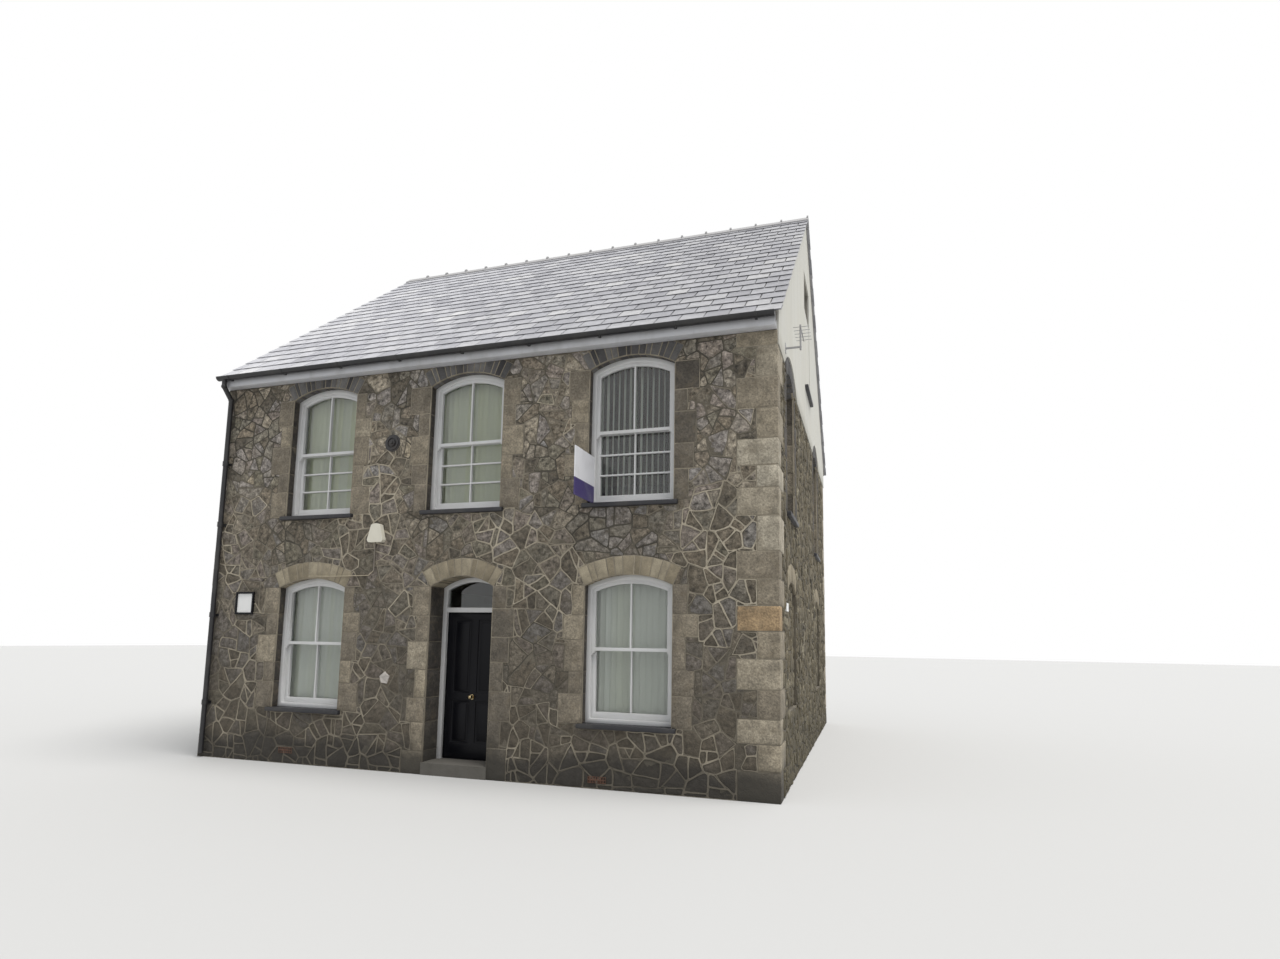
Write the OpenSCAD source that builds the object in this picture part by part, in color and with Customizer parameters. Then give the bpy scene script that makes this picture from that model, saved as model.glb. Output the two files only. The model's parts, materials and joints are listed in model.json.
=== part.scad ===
/* A two-storey stone building at the end of a row, beside a side street. */

/* [Building] */
// Length of the street front
front_w = 8200; // [8000:50:8600]
// Depth from the street front to the back
side_d = 8360; // [8200:20:8700]
// Thickness of the stone walls
wall_t = 500; // [480:10:560]
// Thickness of the party wall
party_t = 350; // [300:10:400]
// Width of the mortar joints between dressed stones
joint = 12; // [6:1:16]
// How far dressed stones stand proud of the rubble
proud = 8; // [4:1:14]

/* [Storeys] */
// Height of the ground floor and the doorstep
door_floor = 150; // [110:10:190]
// Height of the lower window sills
ground_foot = 740; // [700:10:790]
// Height where the lower arches spring
ground_spring = 2390; // [2360:5:2410]
// Height of the upper window sills
upper_foot = 3400; // [3360:10:3440]
// Height where the upper arches spring
upper_spring = 5115; // [5080:5:5130]
// Height of the first floor
first_floor_z = 2950; // [2920:10:3000]
// Height of the attic floor
attic_floor_z = 5600; // [5580:5:5620]
// Thickness of the upper floors
floor_t = 240; // [200:10:260]

/* [Windows] */
// Distance between the windows of the front
bay = 2315; // [2260:5:2360]
// Width of a window opening
opening_w = 1120; // [1080:10:1160]
// Rise of the lower window arches
ground_rise = 130; // [115:5:145]
// Rise of the upper window arches
upper_rise = 150; // [135:5:160]
// Depth of the reveal in front of a window frame
reveal = 120; // [100:5:140]
// Depth of a window frame
frame_d = 140; // [130:5:160]
// Width of a window frame's posts
frame_face = 58; // [50:2:66]
// Width of the sash rails
sash_face = 46; // [40:2:52]
// Thickness of a sash
sash_t = 43; // [38:1:46]
// Width of the glazing bars
bar_w = 20; // [16:1:26]
// Thickness of the glass
glass_t = 4; // [3:1:5]
// Thickness of the slate sills
sill_t = 52; // [44:2:60]
// How far the sills stand out from the wall
sill_out = 55; // [40:5:70]
// How far the sills run past the opening
sill_past = 48; // [36:2:60]

/* [Arches] */
// Depth of the arch stones above an opening
ring = 220; // [200:5:235]
// Number of stones in a lower window arch
ground_stones = 11; // [9:1:13]
// Number of stones in an upper window arch
upper_stones = 14; // [12:1:16]
// Number of stones in the doorway arch
door_stones = 10; // [8:1:12]
// Number of stones in an arch of the side wall
side_stones = 9; // [7:1:11]

/* [Doorway] */
// Distance of the doorway from the middle of the front
door_x = 50; // [20:5:80]
// Width of the doorway
door_w = 932; // [900:2:960]
// Rise of the doorway arch
door_rise = 140; // [125:5:150]
// Depth of the reveal in front of the door frame
door_reveal = 330; // [300:5:340]
// Depth of the door frame
door_frame_d = 100; // [95:1:110]
// Width of the door frame's posts
post_w = 60; // [56:1:70]
// Height of the underside of the transom
transom_z = 2066; // [2040:2:2080]
// Height of the transom
transom_h = 63; // [55:1:70]
// Thickness of the door leaf
leaf_t = 44; // [40:1:48]
// Gap around the door leaf
leaf_gap = 6; // [5:0.5:8]
// How far the leaf laps behind the frame's stop
stop_lap = 12; // [10:1:14]

/* [Roof] */
// Pitch of the roof in degrees
roof_pitch = 40.2; // [40:0.1:41]
// Height of the slates' lower edge
eaves_z = 5550; // [5546:2:5570]
// How far the slates stand out at the eaves
eaves_out = 180; // [170:2:190]
// How far the slates stand out at the gable
verge_out = 76; // [60:2:90]
// Thickness of the roof's rafters and boards
deck_t = 120; // [110:5:130]
// Thickness of the slates at a lower edge
slate_bed = 28; // [24:1:32]
// Step between one course of slates and the next
slate_step = 11; // [8:1:13]
// Number of slate courses on a slope
courses = 28; // [24:1:32]
// Number of ridge tiles
ridge_count = 18; // [16:1:20]
// Length of a ridge tile's leg
ridge_leg = 185; // [160:5:200]
// Thickness of a ridge tile
ridge_t = 16; // [13:1:20]
// Radius of the raised joint of a ridge tile
ear_r = 52; // [45:1:60]

/* [Eaves] */
// Height of the underside of the eaves board
fascia_low = 5376; // [5370:2:5382]
// How far the eaves board stands out
fascia_out = 146; // [140:2:150]
// Thickness of the eaves board
fascia_t = 25; // [20:1:28]
// Radius of the gutters
gutter_r = 55; // [50:1:58]
// Number of gutter brackets
gutter_brackets = 9; // [8:1:11]
// Radius of the downpipes
pipe_r = 34; // [30:1:38]
// Distance of the downpipes from the corner
pipe_in = 115; // [105:5:150]

/* [Gable] */
// Height of the render's lower edge
render_low = 5200; // [5190:2:5210]
// Thickness of the render
render_t = 22; // [16:1:28]
// Width of the attic window opening
attic_w = 1000; // [940:10:1060]
// Height of the attic window sill
attic_foot = 5980; // [5960:10:6020]
// Height of the top of the attic window
attic_head = 8010; // [7960:10:8030]
// Height of the glazed part of the attic window
attic_light = 620; // [580:10:680]

/* [Fittings] */
// Radius of the tie plate
tie_r = 120; // [105:5:135]
// Height of the tie plate's middle
tie_z = 4362; // [4300:10:4420]
// Width of the alarm box
alarm_w = 270; // [240:5:290]
// Width of the notice frame
notice_w = 320; // [300:5:340]
// Length of the blank board
board_l = 620; // [560:10:660]
// Height of the blank board
board_h = 590; // [550:10:620]
// Thickness of the blank board
board_t = 12; // [10:1:16]

/* [Hidden] */
// Which node is shown, or all of them

round_fn = 96;
lap = 1;
bed = 0.3;
far = 20000;
half_w = front_w / 2;
half_d = side_d / 2;
half_open = opening_w / 2;
inner_past = 60;
inner_over = 20;
frame_back = reveal + frame_d;

// Heights above the ground of the corner stones, long and short in turn
quoin_rises = [
    330, 290, 270, 320, 340, 310, 290, 300, 320, 410, 330, 260, 320, 360,
    380, 380, 170];
quoin_long = 470;
quoin_short = 240;
quoin_scale = (fascia_low - joint / 2) / sum_to(quoin_rises, len(quoin_rises));

// Where the beds of the stones beside an opening lie, as parts of its height
jamb_beds = [0, 0.21, 0.37, 0.60, 0.78, 1];
jamb_widths = [260, 150, 300, 170, 230];
door_beds = [0, 0.12, 0.27, 0.40, 0.55, 0.70, 0.84, 1];
door_widths = [300, 180, 260, 160, 290, 170, 240];
jamb_depth = 250;
arch_slip = 0.18;
$turn = 0;

// The upper windows of the side wall, and the blocked ones below them
side_bays = [-half_d * 0.665, half_d * 0.4115];
side_w = 960;
side_foot = 3370;
side_spring = 5150;
side_rise = 130;
blocked_foot = 900;
blocked_recess = 40;

// The back, which the photograph does not show
back_bays = [-bay, 0, bay];
back_low_bays = [-bay, bay];
lintel_h = 210;
lintel_past = 140;

meeting_share = 0.535;
meeting_h = 40;
horn_h = 52;
bottom_rail = 74;
top_sash_y = reveal + 15;
glass_lap = 10;

roof_rise = tan(roof_pitch);
ridge_z = eaves_z + (half_d + eaves_out) * roof_rise;
slate_v = slate_bed / cos(roof_pitch);
deck_v = deck_t / cos(roof_pitch);
roof_run = (half_d + eaves_out) / cos(roof_pitch);
course_h = roof_run / courses;
wall_head = ridge_z - half_d * roof_rise - slate_v - deck_v;
deck_out = fascia_out - fascia_t;
fascia_top = ridge_z - (half_d + fascia_out) * roof_rise - slate_v - 4;

function arc_radius(half, rise) = (half * half + rise * rise) / (2 * rise);
function arc_centre(half, spring, rise) = spring + rise - arc_radius(half, rise);
function sum_to(list, n) = n <= 0 ? 0 : list[n - 1] + sum_to(list, n - 1);

// Placing: y is depth into the wall from the face of each side
module on_front() {
    translate([0, -half_d, 0]) children();
}

module on_back() {
    translate([0, half_d, 0]) rotate([0, 0, 180]) children();
}

module on_side() {
    translate([half_w, 0, 0]) rotate([0, 0, 90]) children();
}

module upright(from_y, thick) {
    translate([0, from_y + thick, 0]) rotate([90, 0, 0]) linear_extrude(thick) children();
}

module along_x(from_x, length) {
    translate([from_x, 0, 0]) rotate([90, 0, 90]) linear_extrude(length) children();
}

module block(x0, x1, y0, y1, z0, z1) {
    translate([x0, y0, z0]) cube([x1 - x0, y1 - y0, z1 - z0]);
}

// The outline of an opening with an arched head, drawn in by some amount
module arched(half, foot, spring, rise, in) {
    radius = arc_radius(half, rise) - in;
    centre = arc_centre(half, spring, rise);
    side = half - in;
    shoulder = centre + sqrt(radius * radius - side * side);
    intersection() {
        translate([-side, foot]) square([2 * side, spring + 2 * rise - foot]);
        union() {
            translate([-side, foot]) square([2 * side, shoulder - 5 * lap - foot]);
            translate([0, centre]) circle(r = radius, $fn = round_fn);
        }
    }
}

module outline(half, foot, spring, rise, in) {
    if (rise > 0)
        arched(half, foot, spring, rise, in);
    else
        translate([-half + in, foot]) square([2 * (half - in), spring - in - foot]);
}

// A hole for a window, wider and flat-headed behind the frame
module window_hole(half, foot, spring, rise) {
    upright(-lap, frame_back + lap) outline(half, foot, spring, rise, 0);
    inner = half + inner_past;
    top = spring + rise + inner_over;
    block(-inner, inner, frame_back - bed, wall_t + lap, foot, top);
}

module wedge(from_a, to_a, reach) {
    polygon([
        [0, 0],
        [reach * sin(from_a), reach * cos(from_a)],
        [reach * sin(to_a), reach * cos(to_a)]]);
}

// The angle of a cut between arch stones, the inner ones a little off their even places
function arch_cut(i, count, reach) =
    reach * (2 * (i + (i > 0 && i < count ? arch_slip * sin(i * 137) : 0)) / count - 1);

// The separate stones of one arch
module arch_stones(half, spring, rise, count, from_y, thick) {
    radius = arc_radius(half, rise);
    centre = arc_centre(half, spring, rise);
    reach = asin(half / radius);
    gap = joint / radius * 180 / PI / 2;
    for (i = [0 : count - 1])
        upright(from_y, thick) translate([0, centre]) intersection() {
            difference() {
                circle(r = radius + ring, $fn = round_fn);
                circle(r = radius, $fn = round_fn);
            }
            wedge(arch_cut(i, count, reach) + gap, arch_cut(i + 1, count, reach) - gap, 2 * radius);
        }
}

// The dressed stones up both sides of an opening, $turn places on in the list of widths
module jamb_stack(half, foot, spring, beds, widths, thick) {
    rise = spring - foot;
    n = len(widths);
    for (side = [0, 1], i = [0 : n - 1]) {
        wide = widths[(i + 2 * side + $turn) % n];
        from = side == 0 ? beds[i] : 1 - beds[n - i];
        to = side == 0 ? beds[i + 1] : 1 - beds[n - i - 1];
        low = foot + rise * from + (i > 0 ? joint / 2 : 0);
        high = foot + rise * to - joint / 2;
        mirror([1 - side, 0, 0])
            block(half, half + wide, -proud, thick, low, high);
    }
}

module sill(half, foot) {
    past = half + sill_past;
    block(-past, past, -sill_out, reveal + 20, foot - sill_t, foot);
}

module front_lower_windows() {
    for (i = [-1, 1]) translate([i * bay, 0, 0]) {
        $turn = i + 1;
        children();
    }
}

module front_upper_windows() {
    for (i = [-1, 0, 1]) translate([i * bay, 0, 0]) {
        $turn = 3 * i + 3;
        children();
    }
}

module side_windows() {
    for (i = [0, 1]) translate([side_bays[i], 0, 0]) {
        $turn = i;
        children();
    }
}

// Every opening with sashes: half width, foot, spring, rise, rows of panes
module each_window() {
    on_front() front_lower_windows() {
        $half = half_open;
        $foot = ground_foot;
        $spring = ground_spring;
        $rise = ground_rise;
        $rows = 1;
        children();
    }
    on_front() front_upper_windows() {
        $half = half_open;
        $foot = upper_foot;
        $spring = upper_spring;
        $rise = upper_rise;
        $rows = 3;
        children();
    }
    on_side() side_windows() {
        $half = side_w / 2;
        $foot = side_foot;
        $spring = side_spring;
        $rise = side_rise;
        $rows = 1;
        children();
    }
    on_back() for (x = back_bays) translate([x, 0, 0]) {
        $half = half_open;
        $foot = upper_foot;
        $spring = upper_spring;
        $rise = 0;
        $rows = 3;
        children();
    }
    on_back() for (x = back_low_bays) translate([x, 0, 0]) {
        $half = half_open;
        $foot = ground_foot;
        $spring = ground_spring;
        $rise = 0;
        $rows = 1;
        children();
    }
}

module all_window_holes() {
    each_window() window_hole($half, $foot, $spring, $rise);
}

// The doorway

module door_hole() {
    translate([door_x, 0, 0]) upright(-lap, wall_t + 2 * lap)
        arched(door_w / 2, -lap, ground_spring, door_rise, 0);
}

// Corner stones at one end of a wall, long on its face where turn is 0
module corner_stack(turn) {
    for (i = [0 : len(quoin_rises) - 1]) {
        long_face = (i + turn) % 2 == 0;
        along = long_face ? quoin_long : quoin_short;
        back = long_face ? quoin_short : quoin_long;
        low = sum_to(quoin_rises, i) * quoin_scale + (i > 0 ? joint / 2 : 0);
        high = sum_to(quoin_rises, i + 1) * quoin_scale - joint / 2;
        block(half_w - along, half_w + proud, -proud, back, low, high);
    }
}

module quoins() {
    color([0.60, 0.55, 0.46]) {
        on_front() corner_stack(0);
        on_back() mirror([1, 0, 0]) corner_stack(0);
    }
}

module jamb_stones() {
    color([0.50, 0.47, 0.41]) {
        on_front() {
            front_lower_windows()
                jamb_stack(half_open, ground_foot, ground_spring, jamb_beds, jamb_widths, jamb_depth);
            front_upper_windows()
                jamb_stack(half_open, upper_foot, upper_spring, jamb_beds, jamb_widths, jamb_depth);
            translate([door_x, 0, 0])
                jamb_stack(door_w / 2, 0, ground_spring, door_beds, door_widths, door_reveal);
        }
        on_side() side_windows()
            jamb_stack(side_w / 2, side_foot, side_spring, jamb_beds, jamb_widths, jamb_depth);
    }
}

module arches_lower() {
    color([0.66, 0.61, 0.50]) {
        on_front() {
            front_lower_windows()
                arch_stones(half_open, ground_spring, ground_rise, ground_stones, -proud, jamb_depth);
            translate([door_x, 0, 0])
                arch_stones(door_w / 2, ground_spring, door_rise, door_stones, -proud, door_reveal);
        }
        on_side() side_windows()
            arch_stones(side_w / 2, ground_spring, side_rise, side_stones, -proud, jamb_depth);
    }
}

module arches_upper() {
    color([0.30, 0.30, 0.31]) {
        on_front() front_upper_windows()
            arch_stones(half_open, upper_spring, upper_rise, upper_stones, -proud, jamb_depth);
        on_side() side_windows()
            arch_stones(side_w / 2, side_spring, side_rise, side_stones, -proud, jamb_depth);
    }
}

module back_lintels() {
    past = half_open + lintel_past;
    color([0.52, 0.49, 0.43]) on_back() {
        for (x = back_bays)
            block(x - past, x + past, -proud, jamb_depth, upper_spring, upper_spring + lintel_h);
        for (x = back_low_bays)
            block(x - past, x + past, -proud, jamb_depth, ground_spring, ground_spring + lintel_h);
    }
}

module window_sills() {
    color([0.16, 0.17, 0.19]) {
        each_window() sill($half, $foot);
        on_side() block(
            -attic_w / 2 - sill_past, attic_w / 2 + sill_past,
            -render_t - sill_out, reveal, attic_foot - sill_t, attic_foot);
    }
}

// Everything that is let into the rubble walls
module let_in() {
    quoins();
    jamb_stones();
    arches_lower();
    arches_upper();
    back_lintels();
    window_sills();
}

module rubble() {
    color([0.40, 0.39, 0.35]) difference() {
        children();
        all_window_holes();
        on_front() door_hole();
        let_in();
    }
}

// Below the springing of the arches a window hole is plain
module rubble_low() {
    inner = half_open + inner_past;
    top = ground_spring + ring;
    color([0.40, 0.39, 0.35]) difference() {
        children();
        on_front() front_lower_windows() {
            block(-half_open, half_open, -lap, wall_t + lap, ground_foot, top);
            block(-inner, inner, frame_back - bed, wall_t + lap, ground_foot, top);
        }
        quoins();
        jamb_stones();
        window_sills();
    }
}

module front_wall_left() {
    rubble_low() on_front()
        block(-half_w, door_x - door_w / 2, 0, wall_t, 0, ground_spring);
}

module front_wall_right() {
    rubble_low() on_front()
        block(door_x + door_w / 2, half_w, 0, wall_t, 0, ground_spring);
}

module front_wall_upper() {
    rubble() on_front()
        block(-half_w, half_w, 0, wall_t, ground_spring, wall_head);
}

module back_wall() {
    rubble() on_back()
        block(-half_w, half_w, 0, wall_t, 0, wall_head);
}

module blocked_hole() {
    upright(-lap, frame_back + lap) arched(side_w / 2, blocked_foot, ground_spring, side_rise, 0);
}

module side_wall() {
    difference() {
        rubble() on_side()
            block(-half_d + wall_t, half_d - wall_t, 0, wall_t, 0, wall_head);
        on_side() side_windows() blocked_hole();
    }
}

module blocked_windows() {
    color([0.50, 0.47, 0.42]) on_side() side_windows()
        upright(blocked_recess, frame_back - blocked_recess)
            arched(side_w / 2, blocked_foot, ground_spring, side_rise, 0);
}

// The shape under a roof slab of the given thickness, between two depths
module under_roof(from_y, to_y, low, deck = deck_v) {
    top = ridge_z - slate_v - deck;
    polygon([
        [from_y, low],
        [to_y, low],
        [to_y, top - abs(to_y) * roof_rise],
        [0, top],
        [from_y, top - abs(from_y) * roof_rise]]);
}

module gable_wall() {
    reach = half_d - wall_t;
    color([0.45, 0.43, 0.39]) difference() {
        along_x(half_w - wall_t, wall_t) under_roof(-reach, reach, wall_head);
        on_side() block(-attic_w / 2, attic_w / 2, -lap, wall_t + lap, attic_foot, attic_head);
        window_sills();
    }
}

module gable_render() {
    radius = arc_radius(side_w / 2, side_rise);
    color([0.86, 0.85, 0.78]) difference() {
        along_x(half_w, render_t) under_roof(-half_d, half_d, render_low, bed);
        quoins();
        on_side() {
            block(-attic_w / 2, attic_w / 2, -far, far, attic_foot, attic_head);
            side_windows() upright(-far, 2 * far)
                translate([0, arc_centre(side_w / 2, side_spring, side_rise)])
                circle(r = radius + ring, $fn = round_fn);
        }
        window_sills();
    }
}

module party_wall() {
    reach = half_d - wall_t;
    color([0.47, 0.44, 0.40])
        along_x(-half_w, party_t) under_roof(-reach, reach, 0);
}

// Stone beam filling on the heads of the front and back walls
module wall_heads() {
    color([0.44, 0.42, 0.38]) for (side = [0, 1]) mirror([0, side, 0])
        along_x(-half_w, front_w) polygon([
            [-half_d, wall_head],
            [-half_d + wall_t, wall_head],
            [-half_d + wall_t, wall_head + wall_t * roof_rise]]);
}

module floor_slab(top, thick) {
    block(-half_w + party_t, half_w - wall_t, -half_d + wall_t, half_d - wall_t, top - thick, top);
}

module ground_floor() {
    color([0.50, 0.48, 0.45]) floor_slab(door_floor, door_floor);
}

module upper_floors() {
    color([0.55, 0.42, 0.28]) {
        floor_slab(first_floor_z, floor_t);
        floor_slab(attic_floor_z, floor_t);
    }
}

// Windows

module window_frame(half, foot, spring, rise) {
    upright(reveal, frame_d) difference() {
        outline(half, foot, spring, rise, 0);
        translate([0, sill_t]) outline(half, foot, spring - sill_t, rise, frame_face);
    }
}

function meeting(foot, spring, rise) = foot + (spring + rise - foot) * (1 - meeting_share + 0.03);

// The curved end of a top sash's side, below its meeting rail
module sash_horn() {
    difference() {
        translate([0, -horn_h]) square([sash_face, horn_h + lap]);
        translate([sash_face, -horn_h]) circle(r = horn_h * 0.62, $fn = round_fn);
    }
}

module top_sash(half, foot, spring, rise) {
    mid = meeting(foot, spring, rise);
    upright(top_sash_y, sash_t) {
        difference() {
            outline(half, mid - meeting_h / 2, spring, rise, frame_face + bed);
            difference() {
                outline(half, mid + meeting_h / 2, spring, rise, frame_face + sash_face);
                translate([-bar_w / 2, foot]) square([bar_w, far]);
            }
        }
        for (side = [0, 1]) mirror([side, 0])
            translate([-half + frame_face + bed, mid - meeting_h / 2]) sash_horn();
    }
}

module top_glass(half, foot, spring, rise) {
    mid = meeting(foot, spring, rise);
    upright(top_sash_y + sash_t, glass_t)
        outline(half, mid + meeting_h / 2 - glass_lap, spring, rise, frame_face + sash_face - glass_lap);
}

module bottom_sash(half, foot, spring, rise, rows) {
    mid = meeting(foot, spring, rise);
    side = half - frame_face;
    low = foot + sill_t;
    clear = mid - meeting_h / 2 - low - bottom_rail;
    upright(top_sash_y + sash_t + glass_t + 2, sash_t) difference() {
        translate([-side, low]) square([2 * side, mid + meeting_h / 2 - low]);
        difference() {
            translate([-side + sash_face, low + bottom_rail]) square([2 * (side - sash_face), clear]);
            translate([-bar_w / 2, low]) square([bar_w, far]);
            if (rows > 1)
                for (i = [1 : rows - 1])
                    translate([-side, low + bottom_rail + clear * i / rows - bar_w / 2])
                        square([2 * side, bar_w]);
        }
    }
}

module bottom_glass(half, foot, spring, rise) {
    mid = meeting(foot, spring, rise);
    side = half - frame_face - sash_face + glass_lap;
    low = foot + sill_t + bottom_rail - glass_lap;
    upright(top_sash_y + 2 * sash_t + glass_t + 2, glass_t)
        translate([-side, low]) square([2 * side, mid - meeting_h / 2 + glass_lap - low]);
}

module blind(half, foot, spring, rise) {
    top = spring + rise + inner_over;
    side = half + inner_past - 30;
    block(-side, side, frame_back + 40, frame_back + 84, top - 40, top);
    block(-side + 10, side - 10, frame_back + 58, frame_back + 66, foot + 30, top - 40);
}

module window_frames() {
    color([0.90, 0.90, 0.88]) each_window() window_frame($half, $foot, $spring, $rise);
}

module top_sashes() {
    color([0.91, 0.91, 0.89]) each_window() top_sash($half, $foot, $spring, $rise);
}

module bottom_sashes() {
    color([0.91, 0.91, 0.89]) each_window() bottom_sash($half, $foot, $spring, $rise, $rows);
}

module window_glass() {
    color([0.60, 0.66, 0.68, 0.5]) {
        each_window() {
            top_glass($half, $foot, $spring, $rise);
            bottom_glass($half, $foot, $spring, $rise);
        }
        on_front() translate([door_x, 0, 0]) upright(door_reveal + door_frame_d / 2, glass_t)
            door_light(post_w - glass_lap, glass_lap);
        in = frame_face - glass_lap;
        on_side() upright(reveal + frame_face, glass_t)
            translate([-attic_w / 2 + in, attic_head - attic_light + in])
            square([attic_w - 2 * in, attic_light - 2 * in]);
    }
}

module window_blinds() {
    color([0.80, 0.80, 0.70]) each_window() blind($half, $foot, $spring, $rise);
}

module attic_frame() {
    half = attic_w / 2;
    low = attic_head - attic_light;
    color([0.30, 0.20, 0.14]) on_side() upright(reveal, frame_face) difference() {
        translate([-half, low]) square([attic_w, attic_light]);
        for (side = [0, 1]) mirror([side, 0])
            translate([bar_w, low + frame_face])
                square([half - frame_face - bar_w, attic_light - 2 * frame_face]);
    }
}

module attic_panel() {
    half = attic_w / 2;
    color([0.84, 0.83, 0.76]) on_side()
        block(-half, half, -render_t / 2, reveal + frame_face, attic_foot, attic_head - attic_light);
}

// The door and its frame

module door_step() {
    color([0.45, 0.44, 0.42]) on_front()
        block(door_x - door_w / 2, door_x + door_w / 2, -20, wall_t, 0, door_floor);
}

module door_light(in, drop) {
    arched(door_w / 2, transom_z + transom_h - drop, ground_spring, door_rise, in);
}

module door_frame() {
    half = door_w / 2;
    leaf_half = half - post_w + stop_lap;
    color([0.90, 0.90, 0.88]) on_front() translate([door_x, 0, 0]) {
        upright(door_reveal, door_frame_d / 2) difference() {
            arched(half, door_floor, ground_spring, door_rise, 0);
            door_light(post_w, 0);
            translate([-half + post_w, door_floor - lap])
                square([door_w - 2 * post_w, transom_z - door_floor + lap]);
        }
        upright(door_reveal + door_frame_d / 2, door_frame_d / 2) difference() {
            arched(half, door_floor, ground_spring, door_rise, 0);
            door_light(post_w - glass_lap, glass_lap);
            translate([-leaf_half, door_floor - lap])
                square([2 * leaf_half, transom_z + stop_lap - door_floor + lap]);
        }
    }
}

leaf_back = door_reveal + door_frame_d;
leaf_half_w = door_w / 2 - post_w + stop_lap - leaf_gap;
leaf_low = door_floor + leaf_gap;
leaf_high = transom_z + stop_lap - leaf_gap;
stile = 105;
panel_in = 13;
panel_border = 34;
field_in = 4;
mid_rail_z = 1010;
hinge_r = 7;
hinge_out = 12;

// The four panels of the door leaf, drawn in by some amount
module leaf_panels(in) {
    clear = leaf_half_w - stile - stile / 2 - 2 * in;
    for (side = [0, 1]) mirror([side, 0]) {
        translate([stile / 2 + in, mid_rail_z + in])
            square([clear, leaf_high - stile - mid_rail_z - 2 * in]);
        translate([stile / 2 + in, leaf_low + 2 * stile + in])
            square([clear, mid_rail_z - 2 * stile - leaf_low - stile - 2 * in]);
    }
}

// A sunk border round the raised field of each panel
module panel_borders() {
    difference() {
        leaf_panels(0);
        leaf_panels(panel_border);
    }
}

module door_leaf() {
    face = leaf_back - leaf_t;
    color([0.06, 0.06, 0.07]) on_front() translate([door_x, 0, 0]) difference() {
        block(-leaf_half_w, leaf_half_w, face, leaf_back, leaf_low, leaf_high);
        upright(face - lap, panel_in + lap) panel_borders();
        upright(face - lap, field_in + lap) leaf_panels(panel_border - lap);
        upright(leaf_back - panel_in, panel_in + lap) panel_borders();
        upright(leaf_back - field_in, field_in + lap) leaf_panels(panel_border - lap);
    }
}

module door_knob() {
    color([0.75, 0.70, 0.55]) on_front()
        translate([door_x, leaf_back - leaf_t, mid_rail_z - stile / 2]) {
            rotate([90, 0, 0]) cylinder(h = 8, r = 34, $fn = round_fn);
            rotate([90, 0, 0]) cylinder(h = 45, r = 12, $fn = round_fn);
            translate([0, -52, 0]) sphere(r = 30, $fn = round_fn);
        }
}

hinge_h = 100;
hinge_in = 180;
hinge_at = [leaf_low + hinge_in, (leaf_low + leaf_high) / 2, leaf_high - hinge_in - hinge_h];

// Each hinge: half on the frame with its pin, half on the leaf above it
module each_hinge() {
    on_front() for (z = hinge_at) translate([door_x - leaf_half_w, leaf_back, z]) children();
}

module hinge_pins() {
    half = hinge_h / 2 - 2;
    color([0.45, 0.44, 0.42]) each_hinge() {
        block(-leaf_gap - 40, -leaf_gap, 0, 3, 0, half);
        block(-leaf_gap - hinge_r, -leaf_gap + 0.5, 0, hinge_out + 2, 0, half);
        translate([0, hinge_out, 0]) {
            cylinder(h = half, r = hinge_r, $fn = round_fn);
            cylinder(h = hinge_h - 6, r = hinge_r / 2, $fn = round_fn);
        }
    }
}

module door_hinges() {
    low = hinge_h / 2;
    color([0.45, 0.44, 0.42]) each_hinge() difference() {
        union() {
            block(0, 40, 0, 3, low, hinge_h);
            block(0, 5, 0, hinge_out, low, hinge_h);
            translate([0, hinge_out, low]) cylinder(h = low, r = hinge_r, $fn = round_fn);
        }
        translate([0, hinge_out, 0]) cylinder(h = hinge_h + lap, r = hinge_r / 2 + 0.5, $fn = round_fn);
    }
}

// Roof

module roof_deck(side) {
    reach = half_d + deck_out;
    color([0.48, 0.36, 0.24]) mirror([0, side, 0]) along_x(-half_w, front_w)
        polygon([
            [-reach, ridge_z - reach * roof_rise - slate_v - bed],
            [-reach, ridge_z - reach * roof_rise - slate_v - deck_v + bed],
            [0, ridge_z - slate_v - deck_v + bed],
            [0, ridge_z - slate_v - bed]]);
}

module roof_deck_front() {
    roof_deck(0);
}

module roof_deck_back() {
    roof_deck(1);
}

ear_t = 26;
tile_gap = 4;

// The stepped courses of one slope
module slate_slope(side) {
    reach = half_d + eaves_out;
    thin = slate_bed - slate_step;
    past = roof_run + slate_bed;
    tops = [for (k = [0 : courses - 1]) each [[k * course_h, slate_bed], [(k + 1) * course_h, thin]]];
    color([0.36, 0.36, 0.41]) mirror([0, side, 0])
        along_x(-half_w, front_w + verge_out) intersection() {
            translate([-reach, ridge_z - reach * roof_rise - slate_v]) rotate(roof_pitch)
                polygon(concat([[0, 0]], tops, [[past, thin], [past, 0]]));
            translate([-far, 0]) square([far, far]);
        }
}

module slates_front() {
    slate_slope(0);
}

module slates_back() {
    slate_slope(1);
}

// A ridge tile with a raised joint at one end, hollow underneath, its legs' ends on the top course
module ridge_tile(length) {
    drop = ridge_leg * sin(roof_pitch);
    out = ridge_leg * cos(roof_pitch);
    cover = ridge_leg - slate_bed * roof_rise;
    sunk = slate_step * max(0, 1 - cover / course_h);
    low = ridge_z - sunk / cos(roof_pitch) + bed;
    high = low + ridge_t / cos(roof_pitch);
    difference() {
        union() {
            along_x(0, length) polygon([
                [-out, low - drop - lap], [out, low - drop - lap],
                [out, high - drop], [0, high], [-out, high - drop]]);
            translate([length - ear_t - 2 * lap, 0, high - ear_r / 2]) rotate([0, 90, 0])
                cylinder(h = ear_t, r = ear_r, $fn = round_fn);
        }
        along_x(-lap, length + 2 * lap)
            polygon([[-2 * out, low - 2 * drop], [2 * out, low - 2 * drop], [0, low]]);
    }
}

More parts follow.
